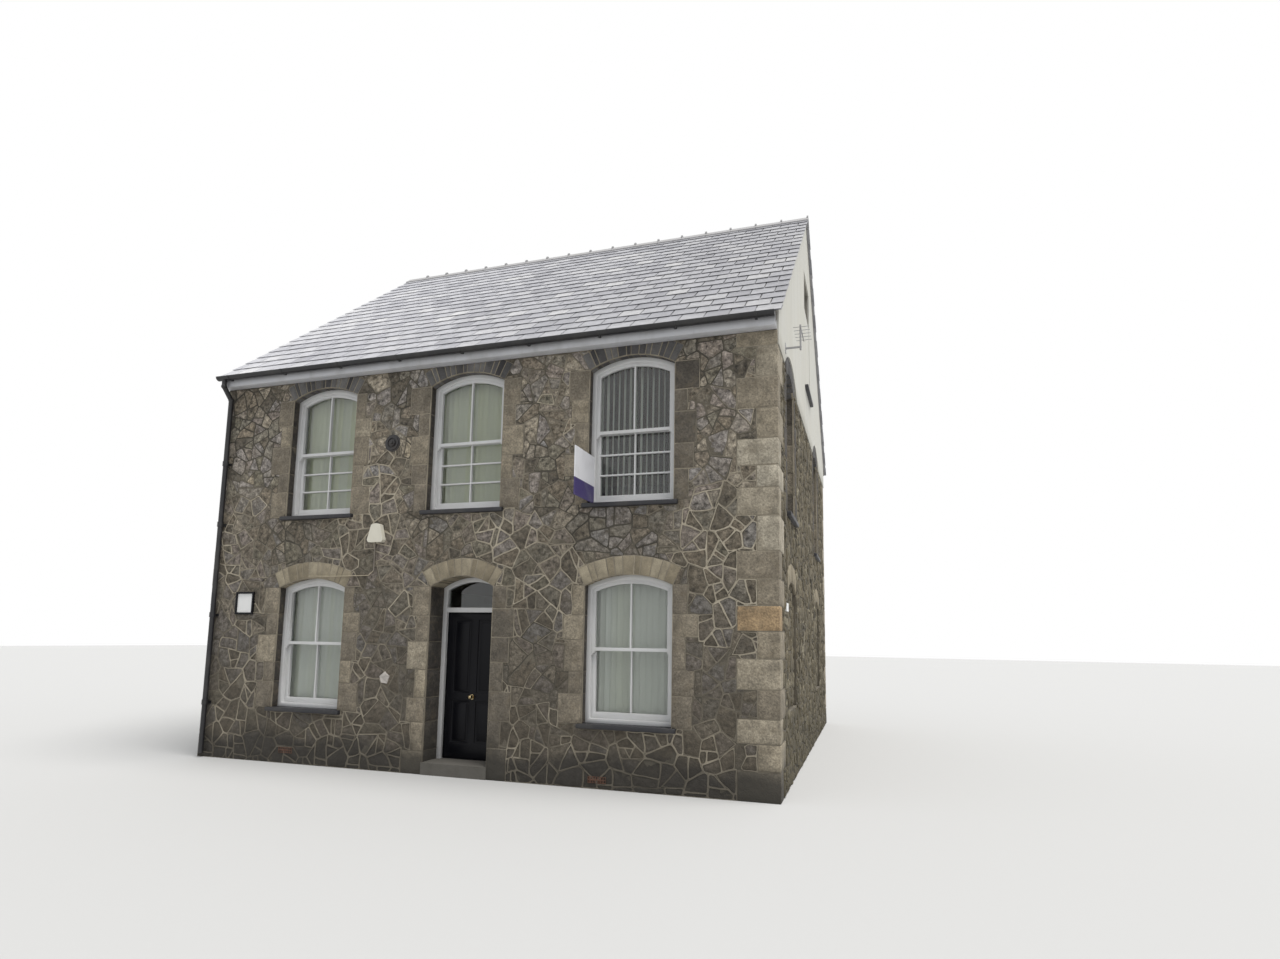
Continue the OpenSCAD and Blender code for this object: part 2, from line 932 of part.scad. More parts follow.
module ridge_tiles() {
    pitch = (front_w + verge_out) / ridge_count;
    color([0.27, 0.27, 0.30]) for (i = [0 : ridge_count - 1])
        translate([-half_w + i * pitch + tile_gap / 2, 0, 0]) ridge_tile(pitch - tile_gap);
}

// Eaves boards, gutters and pipes

module eaves_boards() {
    color([0.76, 0.76, 0.76]) for (side = [0, 1]) mirror([0, side, 0]) {
        along_x(-half_w, front_w) polygon([
            [-half_d - fascia_out, fascia_low],
            [-half_d - proud, fascia_low],
            [-half_d - proud, fascia_low + fascia_t / 2],
            [-half_d - deck_out, fascia_low + fascia_t / 2],
            [-half_d - deck_out, fascia_top],
            [-half_d - fascia_out, fascia_top]]);
        for (x = [-half_w, half_w - fascia_t])
            along_x(x, fascia_t) polygon([
                [-half_d - fascia_out, fascia_low],
                [-half_d - proud, fascia_low],
                [-half_d - proud, ridge_z - (half_d + proud) * roof_rise - slate_v - deck_v],
                [-half_d - deck_out, ridge_z - (half_d + deck_out) * roof_rise - slate_v - deck_v],
                [-half_d - fascia_out, fascia_low + fascia_t]]);
    }
}

strap_t = 5;
strap_w = 30;
strap_in = 200;
gutter_y = -fascia_out - gutter_r - strap_t;
gutter_z = eaves_z - slate_v - 10 * bed;

// The lower half of a shape drawn about the middle of the gutter
module gutter_half() {
    translate([gutter_y, gutter_z]) difference() {
        children();
        translate([-far, 0]) square([2 * far, far]);
    }
}

module gutter() {
    along_x(-half_w, front_w) gutter_half() difference() {
        circle(r = gutter_r, $fn = round_fn);
        circle(r = gutter_r - 4, $fn = round_fn);
    }
    for (x = [-half_w, half_w - 4])
        along_x(x, 4) gutter_half() circle(r = gutter_r, $fn = round_fn);
    for (i = [0 : gutter_brackets - 1])
        along_x(-half_w + strap_in + i * (front_w - 2 * strap_in - strap_w) / (gutter_brackets - 1), strap_w)
            gutter_half() difference() {
                union() {
                    circle(r = gutter_r + strap_t - lap, $fn = round_fn);
                    translate([0, -gutter_r]) square([gutter_r + strap_t, gutter_r]);
                }
                circle(r = gutter_r - lap, $fn = round_fn);
            }
}

pipe_y = -pipe_r - 28;
neck_top = fascia_low - 10;
neck_low = neck_top - 170;
pipe_foot = 60;
socket = 6;

// The brackets, each on the face of one corner stone
bracket_at = [for (i = [2, 6, 10, 13]) sum_to(quoin_rises, i) * quoin_scale + 110];

module pipe_run(from, to) {
    way = to - from;
    flat = sqrt(way[0] * way[0] + way[1] * way[1]);
    translate(from) rotate([0, atan2(flat, way[2]), atan2(way[1], way[0])])
        cylinder(h = norm(way), r = pipe_r, $fn = round_fn);
}

plate_t = 14;
plate_past = 20;

module downpipe(face) {
    translate([-half_w + pipe_in, 0, 0]) {
        difference() {
            pipe_run([0, gutter_y, neck_top], [0, gutter_y, gutter_z - gutter_r / 2]);
            along_x(-far / 2, far) gutter_half() circle(r = gutter_r, $fn = round_fn);
        }
        pipe_run([0, pipe_y, neck_low], [0, gutter_y, neck_top]);
        pipe_run([0, pipe_y, pipe_foot], [0, pipe_y, neck_low]);
        for (knee = [[0, gutter_y, neck_top], [0, pipe_y, neck_low]])
            translate(knee) sphere(r = pipe_r + socket, $fn = round_fn);
        for (z = bracket_at) {
            translate([0, pipe_y, z]) cylinder(h = 70, r = pipe_r + 8, $fn = round_fn);
            block(-pipe_r - plate_past, pipe_r + plate_past, -face - plate_t, -face, z + 10, z + 50);
            block(-12, 12, pipe_y, -face - plate_t / 2, z + 10, z + 50);
        }
    }
}

module gutters() {
    color([0.07, 0.07, 0.08]) {
        on_front() gutter();
        on_back() gutter();
    }
}

module downpipes() {
    color([0.07, 0.07, 0.08]) {
        on_front() downpipe(0);
        on_back() downpipe(proud);
    }
}

// Fittings on the walls

module tie_plate() {
    color([0.10, 0.10, 0.11]) on_front() translate([-bay * 0.484, 0, tie_z]) rotate([90, 0, 0]) {
        cylinder(h = 12, r = tie_r, $fn = round_fn);
        difference() {
            cylinder(h = 24, r = tie_r * 0.78, $fn = round_fn);
            cylinder(h = 25, r = tie_r * 0.60, $fn = round_fn);
        }
        cylinder(h = 34, r = tie_r * 0.38, $fn = round_fn);
        cylinder(h = 52, r = tie_r * 0.17, $fn = 6);
    }
}

alarm_h = 255;
alarm_t = 72;
alarm_low = first_floor_z + 40;

module alarm_box() {
    half = alarm_w / 2;
    top = alarm_low + alarm_h;
    color([0.86, 0.84, 0.72]) on_front() translate([-bay * 0.549, 0, 0])
        upright(-alarm_t, alarm_t) intersection() {
            polygon([
                [-half, alarm_low], [half, alarm_low],
                [half * 0.50, top + lap], [-half * 0.50, top + lap]]);
            translate([0, alarm_low + alarm_h * 0.42]) circle(r = alarm_h * 0.58, $fn = round_fn);
        }
}

pipe_side = -half_w + pipe_in + pipe_r + plate_past;
jamb_side = -bay - half_open - max(jamb_widths);
notice_x = pipe_side + (jamb_side - pipe_side - notice_w) * 0.713 + notice_w / 2;
notice_z = 2010;
plate_y = -half_d + quoin_long + 150;

module notice_square(in) {
    translate([notice_x - notice_w / 2 + in, notice_z + in])
        square([notice_w - 2 * in, notice_w - 2 * in]);
}

module notice_frame() {
    color([0.09, 0.09, 0.10]) on_front() upright(-28, 28) difference() {
        notice_square(0);
        notice_square(26);
    }
}

module notice_plates() {
    color([0.88, 0.88, 0.86]) {
        on_front() upright(-12, 12) notice_square(26);
        on_side() block(plate_y, plate_y + 220, -2 * proud, 0, notice_z + 100, notice_z + 200);
    }
}

board_low = upper_foot + 20;
board_strap = 40;

module agent_board() {
    x = bay - half_open + 36;
    color([0.88, 0.88, 0.89]) on_front() {
        block(x, x + board_t, reveal - board_l, reveal, board_low, board_low + board_h);
        for (z = [board_low + 2 * board_strap, board_low + board_h - 3 * board_strap])
            block(x - 30, x + lap, 0, reveal, z, z + board_strap);
    }
}

aerial_in = 700;
aerial_up = 220;
aerial_arm = 200;
aerial_mast = 330;
boom_l = 480;
boom_t = 12;
rod_l = 200;

module gable_aerial() {
    boom_z = aerial_mast - 90;
    color([0.45, 0.45, 0.46]) on_side() translate([-half_d + aerial_in, -render_t, render_low + aerial_up]) {
        block(-40, 40, -6, 0, -60, 60);
        block(-10, 10, -aerial_arm, 0, -10, 10);
        translate([0, -aerial_arm + boom_t, -40]) cylinder(h = aerial_mast, r = boom_t, $fn = round_fn);
        block(-60, boom_l - 60, -aerial_arm, -aerial_arm + boom_t, boom_z, boom_z + boom_t);
        for (i = [0 : 4])
            translate([-40 + i * boom_l / 4.6, -aerial_arm + rod_l / 2, boom_z + boom_t / 2])
                rotate([90, 0, 0]) cylinder(h = rod_l, r = boom_t / 3, $fn = round_fn);
    }
}

front_wall_left();
front_wall_right();
front_wall_upper();
side_wall();
gable_wall();
gable_render();
back_wall();
party_wall();
wall_heads();
ground_floor();
upper_floors();
quoins();
jamb_stones();
arches_lower();
arches_upper();
back_lintels();
window_sills();
window_frames();
top_sashes();
bottom_sashes();
window_glass();
window_blinds();
blocked_windows();
attic_frame();
attic_panel();
door_step();
door_frame();
hinge_pins();
door_leaf();
door_knob();
door_hinges();
roof_deck_front();
roof_deck_back();
slates_front();
slates_back();
ridge_tiles();
eaves_boards();
gutters();
downpipes();
tie_plate();
alarm_box();
notice_frame();
notice_plates();
agent_board();
gable_aerial();
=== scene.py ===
import json
import math
import random

import bmesh
import bpy
from mathutils import Matrix, Vector, noise

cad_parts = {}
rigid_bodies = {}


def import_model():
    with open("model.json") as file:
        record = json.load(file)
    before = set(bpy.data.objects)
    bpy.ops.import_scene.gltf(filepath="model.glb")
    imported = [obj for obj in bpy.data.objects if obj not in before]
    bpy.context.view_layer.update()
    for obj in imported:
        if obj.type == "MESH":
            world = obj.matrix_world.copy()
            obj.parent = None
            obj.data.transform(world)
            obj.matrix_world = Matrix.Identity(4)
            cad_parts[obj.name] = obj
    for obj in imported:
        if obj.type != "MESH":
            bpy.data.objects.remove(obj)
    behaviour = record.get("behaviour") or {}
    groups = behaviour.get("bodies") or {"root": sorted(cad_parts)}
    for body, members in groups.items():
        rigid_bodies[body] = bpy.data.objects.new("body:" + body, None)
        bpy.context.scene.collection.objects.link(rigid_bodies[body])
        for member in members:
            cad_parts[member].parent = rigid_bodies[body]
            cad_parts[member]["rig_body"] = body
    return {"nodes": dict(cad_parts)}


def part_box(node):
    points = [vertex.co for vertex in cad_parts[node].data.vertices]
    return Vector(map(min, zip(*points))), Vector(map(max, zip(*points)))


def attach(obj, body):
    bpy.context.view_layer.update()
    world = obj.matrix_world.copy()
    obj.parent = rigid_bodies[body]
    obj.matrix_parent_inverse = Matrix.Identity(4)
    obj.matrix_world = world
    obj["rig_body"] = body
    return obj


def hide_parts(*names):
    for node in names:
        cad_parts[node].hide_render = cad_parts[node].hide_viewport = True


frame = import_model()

# Blender otherwise starts the vector noise from the clock
noise.seed_set(5)

nodes = frame["nodes"]
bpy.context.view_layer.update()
print("frame loaded:", len(nodes), "nodes")

# Faces of the building, each with its own axes: along, up and out
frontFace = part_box("front_wall_left")[0].y
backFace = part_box("back_wall")[1].y
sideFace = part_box("side_wall")[1].x
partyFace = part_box("party_wall")[0].x
walls = {
    "front": {"at": Vector((0, frontFace, 0)), "along": Vector((1, 0, 0)), "out": Vector((0, -1, 0))},
    "side": {"at": Vector((sideFace, 0, 0)), "along": Vector((0, 1, 0)), "out": Vector((1, 0, 0))},
    "back": {"at": Vector((0, backFace, 0)), "along": Vector((-1, 0, 0)), "out": Vector((0, 1, 0))},
}


def toWorld(wall, u, v, out):
    place = walls[wall]
    return place["at"] + place["along"] * u + Vector((0, 0, v)) + place["out"] * out


def toWall(wall, point):
    place = walls[wall]
    offset = point - place["at"]
    return offset.dot(place["along"]), point.z, offset.dot(place["out"])


# Materials: small helpers

def addNode(tree, kind, links=None, **values):
    node = tree.nodes.new(kind)
    for label, value in values.items():
        setattr(node, label, value)
    for label, source in (links or {}).items():
        socket = node.inputs[label]
        if isinstance(source, bpy.types.NodeSocket):
            tree.links.new(source, socket)
        else:
            socket.default_value = source
    return node


def tint(colour):
    return (*colour, 1.0) if len(colour) == 3 else colour


def mixColours(tree, amount, first, second, how="MIX"):
    links = {0: amount}
    links[6] = first if isinstance(first, bpy.types.NodeSocket) else tint(first)
    links[7] = second if isinstance(second, bpy.types.NodeSocket) else tint(second)
    node = addNode(tree, "ShaderNodeMix", links, data_type="RGBA", blend_type=how)
    return node.outputs[2]


def calculate(tree, how, first, second=0.0, clamp=False):
    node = addNode(tree, "ShaderNodeMath", {0: first, 1: second}, operation=how, use_clamp=clamp)
    return node.outputs[0]


def times(tree, first, second, clamp=False):
    return calculate(tree, "MULTIPLY", first, second, clamp)


def mapRange(tree, value, low, high, toLow=0.0, toHigh=1.0):
    links = {"Value": value, "From Min": low, "From Max": high, "To Min": toLow, "To Max": toHigh}
    return addNode(tree, "ShaderNodeMapRange", links).outputs["Result"]


def objectCoordinates(tree, scale=(1, 1, 1), shift=(0, 0, 0)):
    coordinates = addNode(tree, "ShaderNodeTexCoord")
    links = {"Vector": coordinates.outputs["Object"], "Scale": scale, "Location": shift}
    return addNode(tree, "ShaderNodeMapping", links).outputs["Vector"]


def noiseOf(tree, vector, scale, detail=4.0, rough=0.5, distort=0.0):
    links = {"Vector": vector, "Scale": scale, "Detail": detail, "Roughness": rough, "Distortion": distort}
    return addNode(tree, "ShaderNodeTexNoise", links).outputs["Fac"]


def rampOf(tree, value, stops):
    node = addNode(tree, "ShaderNodeValToRGB", {"Fac": value})
    elements = node.color_ramp.elements
    while len(elements) < len(stops):
        elements.new(0.5)
    for element, (position, colour) in zip(elements, stops):
        element.position = position
        element.color = tint(colour)
    return node.outputs["Color"]


# One axis of a vector
def axisOf(tree, vector, axis):
    return addNode(tree, "ShaderNodeSeparateXYZ", {"Vector": vector}).outputs[axis]


# The tone that each face of a piece carries
def toneOf(tree):
    return addNode(tree, "ShaderNodeAttribute", attribute_name="tone").outputs["Fac"]


# A colour made darker or paler by a value
def shaded(tree, colour, value):
    grey = addNode(tree, "ShaderNodeCombineColor", {0: value, 1: value, 2: value}).outputs["Color"]
    return mixColours(tree, 1.0, colour, grey, "MULTIPLY")


def startGroup(name, inputs, outputs):
    group = bpy.data.node_groups.new(name, "ShaderNodeTree")
    for label, value in inputs.items():
        socket = group.interface.new_socket(label, in_out="INPUT", socket_type="NodeSocketFloat")
        socket.default_value = value
    for label in outputs:
        group.interface.new_socket(label, in_out="OUTPUT", socket_type="NodeSocketFloat")
    start = group.nodes.new("NodeGroupInput")
    end = group.nodes.new("NodeGroupOutput")
    return group, start.outputs, end.inputs


def stoneGrainGroup():
    group, given, result = startGroup(
        "stoneGrain", {"Coarse": 6.0, "Fine": 80.0}, ["Mottle", "Grain", "Height"])
    vector = objectCoordinates(group)
    mottle = noiseOf(group, vector, given["Coarse"], 5.0, 0.55, 0.4)
    grain = noiseOf(group, vector, given["Fine"], 6.0, 0.65)
    lumps = noiseOf(group, vector, times(group, given["Fine"], 0.22), 3.0, 0.5)
    pits = addNode(group, "ShaderNodeTexVoronoi", {
        "Vector": vector, "Scale": times(group, given["Fine"], 0.6)})
    hollow = mapRange(group, pits.outputs["Distance"], 0.0, 0.35)
    height = times(group, grain, 0.45)
    height = calculate(group, "ADD", height, times(group, lumps, 0.9))
    height = calculate(group, "ADD", height, times(group, hollow, 0.25))
    group.links.new(mottle, result["Mottle"])
    group.links.new(grain, result["Grain"])
    group.links.new(height, result["Height"])
    return group


# A mask that is 1 at the ground and fades out by a given rise: used for damp feet, splashes and, on the front
# wall, partly painted shade
def groundFadeGroup():
    group, given, result = startGroup("groundFade", {"Rise": 0.8, "Ragged": 0.5}, ["Mask"])
    vector = objectCoordinates(group)
    height = axisOf(group, vector, "Z")
    ragged = calculate(group, "SUBTRACT", noiseOf(group, vector, 2.3, 4.0), 0.5)
    ragged = times(group, ragged, given["Ragged"])
    level = calculate(group, "ADD", height, ragged)
    mask = calculate(group, "SUBTRACT", 1.0, calculate(group, "DIVIDE", level, given["Rise"]), clamp=True)
    group.links.new(mask, result["Mask"])
    return group


def streaksGroup():
    group, given, result = startGroup("rainStreaks", {"Width": 9.0, "Bite": 0.55}, ["Mask"])
    coordinates = addNode(group, "ShaderNodeTexCoord").outputs["Object"]
    squash = addNode(group, "ShaderNodeVectorMath", {0: coordinates, 1: (1, 1, 0.045)}, operation="MULTIPLY")
    streak = noiseOf(group, squash.outputs["Vector"], given["Width"], 5.0, 0.6)
    mask = calculate(group, "SUBTRACT", streak, given["Bite"])
    mask = times(group, mask, 4.0, clamp=True)
    group.links.new(mask, result["Mask"])
    return group


stoneGrain = stoneGrainGroup()
groundFade = groundFadeGroup()
rainStreaks = streaksGroup()


def useGroup(tree, group, **values):
    node = addNode(tree, "ShaderNodeGroup", node_tree=group)
    for label, value in values.items():
        node.inputs[label].default_value = value
    return node.outputs


def startMaterial(name, colour=(0.5, 0.5, 0.5), rough=0.5, **sockets):
    material = bpy.data.materials.new(name)
    material.use_nodes = True
    tree = material.node_tree
    shader = tree.nodes["Principled BSDF"]
    shader.inputs["Base Color"].default_value = tint(colour)
    shader.inputs["Roughness"].default_value = rough
    for label, value in sockets.items():
        shader.inputs[label.replace("_", " ")].default_value = value
    return material, tree, shader


def bumpFrom(tree, shader, height, depth):
    node = addNode(tree, "ShaderNodeBump", {"Height": height, "Distance": depth, "Strength": 1.0})
    tree.links.new(node.outputs["Normal"], shader.inputs["Normal"])


# Stone, from a ramp over each stone's own tone, with growth, stains, rain streaks and a damp foot; on the
# front a darkening over most of the height towards the ground and a paler upper wall are partly painted shade
# and light
stoneFeel = {
    "middle": (0.3, 0.7), "palest": 0.6, "growthEdge": (0.56, 0.72), "stainEdge": (0.50, 0.66),
    "streaks": 0.25, "streakWidth": 4.5, "streakBite": 0.53, "dampAndShadeRagged": 0.9,
    "footRise": 0.55, "footRagged": 0.75, "footEdge": (0.22, 0.55), "rough": (0.82, 0.97)}


def stoneMaterial(name, look):
    feel = stoneFeel
    material, tree, shader = startMaterial(name, rough=0.92)
    colour = rampOf(tree, toneOf(tree), look["ramp"])
    grain = useGroup(tree, stoneGrain, Coarse=look["coarse"], Fine=look["fine"])
    mottle, speck = look["mottle"], look["grain"]
    shade = mapRange(tree, grain["Mottle"], *feel["middle"], 1.0 - mottle, 1.0 + mottle * feel["palest"])
    shade = times(tree, shade, mapRange(tree, grain["Grain"], *feel["middle"], 1.0 - speck, 1.0 + speck))
    colour = shaded(tree, colour, shade)
    vector = objectCoordinates(tree, shift=(3.1, 1.7, 0.4))
    growth = mapRange(tree, noiseOf(tree, vector, look["patchScale"], 6.0, 0.7), *feel["growthEdge"])
    colour = mixColours(tree, times(tree, growth, look["patch"]), colour, look["patchColour"])
    if "stain" in look:
        stain = mapRange(tree, noiseOf(tree, vector, look["stainScale"], 7.0, 0.72), *feel["stainEdge"])
        colour = mixColours(tree, times(tree, stain, look["stain"]), colour, look["stainColour"])
    streak = useGroup(tree, rainStreaks, Width=feel["streakWidth"], Bite=feel["streakBite"])["Mask"]
    colour = mixColours(tree, times(tree, streak, feel["streaks"]), colour, look["dampAndShadeColour"])
    # Paler higher up: partly painted light on the upper wall
    if "paleHigh" in look:
        low, high, gain = look["paleHigh"]
        colour = shaded(tree, colour, mapRange(tree, axisOf(tree, vector, "Z"), low, high, 1.0, gain))
    # Darker towards the ground: a damp foot, and where the rise is tall, as on the front, partly painted shade
    if "dampAndShade" in look:
        dampAndShade = useGroup(tree, groundFade, Rise=look["dampAndShade"], Ragged=feel["dampAndShadeRagged"])["Mask"]
        colour = mixColours(tree, times(tree, dampAndShade, look["dampAndShadeBite"]), colour, look["dampAndShadeColour"])
    if "splash" in look:
        foot = useGroup(tree, groundFade, Rise=feel["footRise"], Ragged=feel["footRagged"])["Mask"]
        foot = times(tree, mapRange(tree, foot, *feel["footEdge"]), look["splash"])
        colour = mixColours(tree, foot, colour, look["splashColour"])
    tree.links.new(colour, shader.inputs["Base Color"])
    rough = mapRange(tree, grain["Grain"], *feel["middle"], *feel["rough"])
    tree.links.new(rough, shader.inputs["Roughness"])
    bumpFrom(tree, shader, grain["Height"], look["bump"])
    return material


stoneLooks = {
    "rubbleFront": {
        "ramp": [
            (0.0, (0.098, 0.085, 0.066)), (0.18, (0.150, 0.128, 0.096)), (0.34, (0.214, 0.178, 0.131)),
            (0.46, (0.240, 0.217, 0.196)), (0.56, (0.181, 0.164, 0.120)), (0.66, (0.256, 0.216, 0.184)),
            (0.78, (0.221, 0.210, 0.200)), (0.90, (0.297, 0.252, 0.182)), (1.0, (0.350, 0.318, 0.278))],
        "splash": 0.75, "splashColour": (0.026, 0.024, 0.021),
        "coarse": 17.0, "fine": 52.0, "mottle": 0.86, "grain": 0.52, "bump": 0.020,
        "patch": 0.50, "patchScale": 6.5, "patchColour": (0.270, 0.250, 0.205),
        # Paler higher up and darker over most of the height towards the ground: partly painted light and shade
        "stain": 0.62, "stainScale": 8.5, "stainColour": (0.092, 0.074, 0.050), "paleHigh": (2.2, 4.4, 1.28),
        "dampAndShade": 4.6, "dampAndShadeBite": 0.84, "dampAndShadeColour": (0.064, 0.054, 0.040)},
    "rubbleSide": {
        "ramp": [
            (0.0, (0.058, 0.050, 0.034)), (0.30, (0.095, 0.080, 0.051)), (0.55, (0.132, 0.110, 0.070)),
            (0.80, (0.175, 0.151, 0.101)), (1.0, (0.270, 0.240, 0.168))],
        "coarse": 7.0, "fine": 60.0, "mottle": 0.42, "grain": 0.34, "bump": 0.015,
        "patch": 0.30, "patchScale": 4.0, "patchColour": (0.250, 0.225, 0.170),
        "stain": 0.35, "stainScale": 3.5, "stainColour": (0.075, 0.060, 0.036),
        "dampAndShade": 1.9, "dampAndShadeBite": 0.62, "dampAndShadeColour": (0.050, 0.043, 0.024)},
    "dressed": {
        "ramp": [
            # The darkest stop is for the faces inside the openings: partly painted shade in the recess
            (0.0, (0.050, 0.044, 0.038)), (0.10, (0.155, 0.134, 0.104)), (0.30, (0.215, 0.185, 0.140)),
            (0.55, (0.285, 0.245, 0.180)), (0.75, (0.360, 0.318, 0.245)), (0.90, (0.430, 0.390, 0.310)),
            (1.0, (0.370, 0.262, 0.150))],
        "splash": 0.70, "splashColour": (0.034, 0.031, 0.026),
        "coarse": 6.0, "fine": 46.0, "mottle": 0.36, "grain": 0.46, "bump": 0.014,
        "patch": 0.40, "patchScale": 3.4, "patchColour": (0.170, 0.155, 0.120),
        "stain": 0.45, "stainScale": 6.5, "stainColour": (0.150, 0.122, 0.082),
        "dampAndShade": 0.62, "dampAndShadeBite": 0.85, "dampAndShadeColour": (0.060, 0.055, 0.042)},
    "archBuff": {
        "ramp": [(0.0, (0.215, 0.182, 0.125)), (0.5, (0.275, 0.235, 0.165)), (1.0, (0.335, 0.292, 0.212))],
        "coarse": 9.0, "fine": 95.0, "mottle": 0.26, "grain": 0.24, "bump": 0.007,
        "patch": 0.30, "patchScale": 4.0, "patchColour": (0.210, 0.180, 0.125),
        "dampAndShadeColour": (0.06, 0.05, 0.04)},
    "archDark": {
        "ramp": [(0.0, (0.048, 0.046, 0.047)), (0.5, (0.080, 0.077, 0.077)), (1.0, (0.180, 0.174, 0.166))],
        "coarse": 8.0, "fine": 70.0, "mottle": 0.30, "grain": 0.30, "bump": 0.008,
        "patch": 0.25, "patchScale": 5.0, "patchColour": (0.160, 0.150, 0.125),
        "dampAndShadeColour": (0.05, 0.05, 0.04)},
    "pointing": {
        # Its darkest stops are painted shadow in the joints where the raised pointing is gone
        "ramp": [(0.0, (0.055, 0.049, 0.038)), (0.35, (0.140, 0.123, 0.094)), (0.70, (0.295, 0.258, 0.196)),
                 (1.0, (0.440, 0.392, 0.305))],
        "coarse": 4.0, "fine": 140.0, "mottle": 0.26, "grain": 0.20, "bump": 0.003,
        "patch": 0.60, "patchScale": 2.6, "patchColour": (0.125, 0.112, 0.088),
        "splash": 0.60, "splashColour": (0.045, 0.040, 0.032),
        # Paler higher up and darker towards the ground, as on the front stones: partly painted light and shade
        "paleHigh": (2.2, 4.4, 1.12), "dampAndShade": 2.4, "dampAndShadeBite": 0.45, "dampAndShadeColour": (0.110, 0.096, 0.073)},
    "quartz": {
        "ramp": [(0.0, (0.480, 0.445, 0.410)), (1.0, (0.480, 0.445, 0.410))],
        "coarse": 16.0, "fine": 110.0, "mottle": 0.30, "grain": 0.22, "bump": 0.008,
        "patch": 0.40, "patchScale": 14.0, "patchColour": (0.280, 0.240, 0.200),
        "dampAndShadeColour": (0.06, 0.05, 0.04)},
    "joints": {
        "ramp": [(0.0, (0.135, 0.118, 0.090)), (1.0, (0.135, 0.118, 0.090))],
        "coarse": 5.0, "fine": 90.0, "mottle": 0.40, "grain": 0.30, "bump": 0.006,
        "patch": 0.5, "patchScale": 3.0, "patchColour": (0.240, 0.215, 0.165),
        "dampAndShade": 0.8, "dampAndShadeBite": 0.8, "dampAndShadeColour": (0.032, 0.030, 0.025)},
}
stones = {name: stoneMaterial(name, look) for name, look in stoneLooks.items()}


# Roof slates: a sheen at a flat angle, lichen spots and a tone for each slate.
# They are paler towards the party wall: partly a painted sheen, partly paler slates.
slateFeel = {
    "ramp": [
        (0.0, (0.205, 0.206, 0.226)), (0.30, (0.262, 0.263, 0.284)), (0.60, (0.312, 0.313, 0.332)),
        (0.85, (0.352, 0.351, 0.364)), (1.0, (0.400, 0.398, 0.404))],
    "middle": (0.3, 0.7), "mottle": (0.80, 1.14), "rough": (0.34, 0.52), "sheenPaleTo": 3.2, "sheenPaleGain": 1.58,
    "spotScale": 11.0, "spotEdge": (0.05, 0.16), "spotsWhere": (0.5, 0.62), "spot": (0.42, 0.42, 0.38),
    "layers": (3.0, 14.0, 14.0), "bump": 0.0035}


def slateMaterial():
    feel = slateFeel
    material, tree, shader = startMaterial("roofSlate", rough=0.42, Specular_IOR_Level=0.55)
    colour = rampOf(tree, toneOf(tree), feel["ramp"])
    grain = useGroup(tree, stoneGrain, Coarse=9.0, Fine=60.0)
    colour = shaded(tree, colour, mapRange(tree, grain["Mottle"], *feel["middle"], *feel["mottle"]))
    vector = objectCoordinates(tree)
    across = axisOf(tree, vector, "X")
    # Paler towards the party wall: partly painted sheen, partly paler slates
    colour = shaded(tree, colour, mapRange(tree, across, partyFace, feel["sheenPaleTo"], feel["sheenPaleGain"], 1.0))
    spots = addNode(tree, "ShaderNodeTexVoronoi", {"Vector": vector, "Scale": feel["spotScale"]})
    spots = mapRange(tree, spots.outputs["Distance"], *feel["spotEdge"])
    spots = calculate(tree, "SUBTRACT", 1.0, spots, clamp=True)
    where = mapRange(tree, noiseOf(tree, vector, 1.6, 3.0), *feel["spotsWhere"])
    colour = mixColours(tree, times(tree, spots, where), colour, feel["spot"])
    tree.links.new(colour, shader.inputs["Base Color"])
    rough = mapRange(tree, grain["Mottle"], *feel["middle"], *feel["rough"])
    tree.links.new(rough, shader.inputs["Roughness"])
    layers = addNode(tree, "ShaderNodeVectorMath", {0: vector, 1: feel["layers"]}, operation="MULTIPLY")
    bumpFrom(tree, shader, noiseOf(tree, layers.outputs["Vector"], 3.0, 4.0), feel["bump"])
    return material


# Painted and plain surfaces: brush marks, dirt, rain streaks, a few bare spots and, on the eaves board,
# painted shade under the gutter
paintFeel = {
    "dirtEdge": (0.48, 0.74), "streakBite": 0.56, "bareEdge": (0.70, 0.76), "roughDirt": 0.4,
    "wander": 0.05, "paintedShadeHigh": 0.09, "shade": 0.8}


def paintMaterial(name, look):
    feel = paintFeel
    material, tree, shader = startMaterial(
        name, rough=look["rough"], Coat_Weight=look.get("coat", 0.0),
        Specular_IOR_Level=look.get("gloss", 0.5))
    vector = objectCoordinates(tree)
    dirt = mapRange(tree, noiseOf(tree, vector, 2.4, 6.0, 0.62), *feel["dirtEdge"])
    dirt = times(tree, dirt, look["dirt"])
    colour = mixColours(tree, dirt, look["colour"], look["dirtColour"])
    streak = useGroup(tree, rainStreaks, Width=look.get("streakWidth", 12.0), Bite=feel["streakBite"])["Mask"]
    colour = mixColours(tree, times(tree, streak, look["streaks"]), colour, look["dirtColour"])
    # Painted shade: darker from a given height up, where the gutter shades the board
    if "paintedShadeFrom" in look:
        wander = times(tree, noiseOf(tree, vector, 1.7, 3.0), feel["wander"])
        height = calculate(tree, "ADD", axisOf(tree, vector, "Z"), wander)
        shade = mapRange(tree, height, look["paintedShadeFrom"], look["paintedShadeFrom"] + feel["paintedShadeHigh"])
        colour = mixColours(tree, times(tree, shade, feel["shade"]), colour, look["paintedShadeColour"])
    if "bare" in look:
        bare = mapRange(tree, noiseOf(tree, vector, 38.0, 3.0, 0.7), *feel["bareEdge"])
        colour = mixColours(tree, times(tree, bare, look["bare"]), colour, look["bareColour"])
    tree.links.new(colour, shader.inputs["Base Color"])
    rough = mapRange(tree, dirt, 0.0, 1.0, look["rough"], min(1.0, look["rough"] + feel["roughDirt"]))
    tree.links.new(rough, shader.inputs["Roughness"])
    bumpFrom(tree, shader, noiseOf(tree, vector, look.get("brush", 55.0), 4.0), look["bump"])
    return material


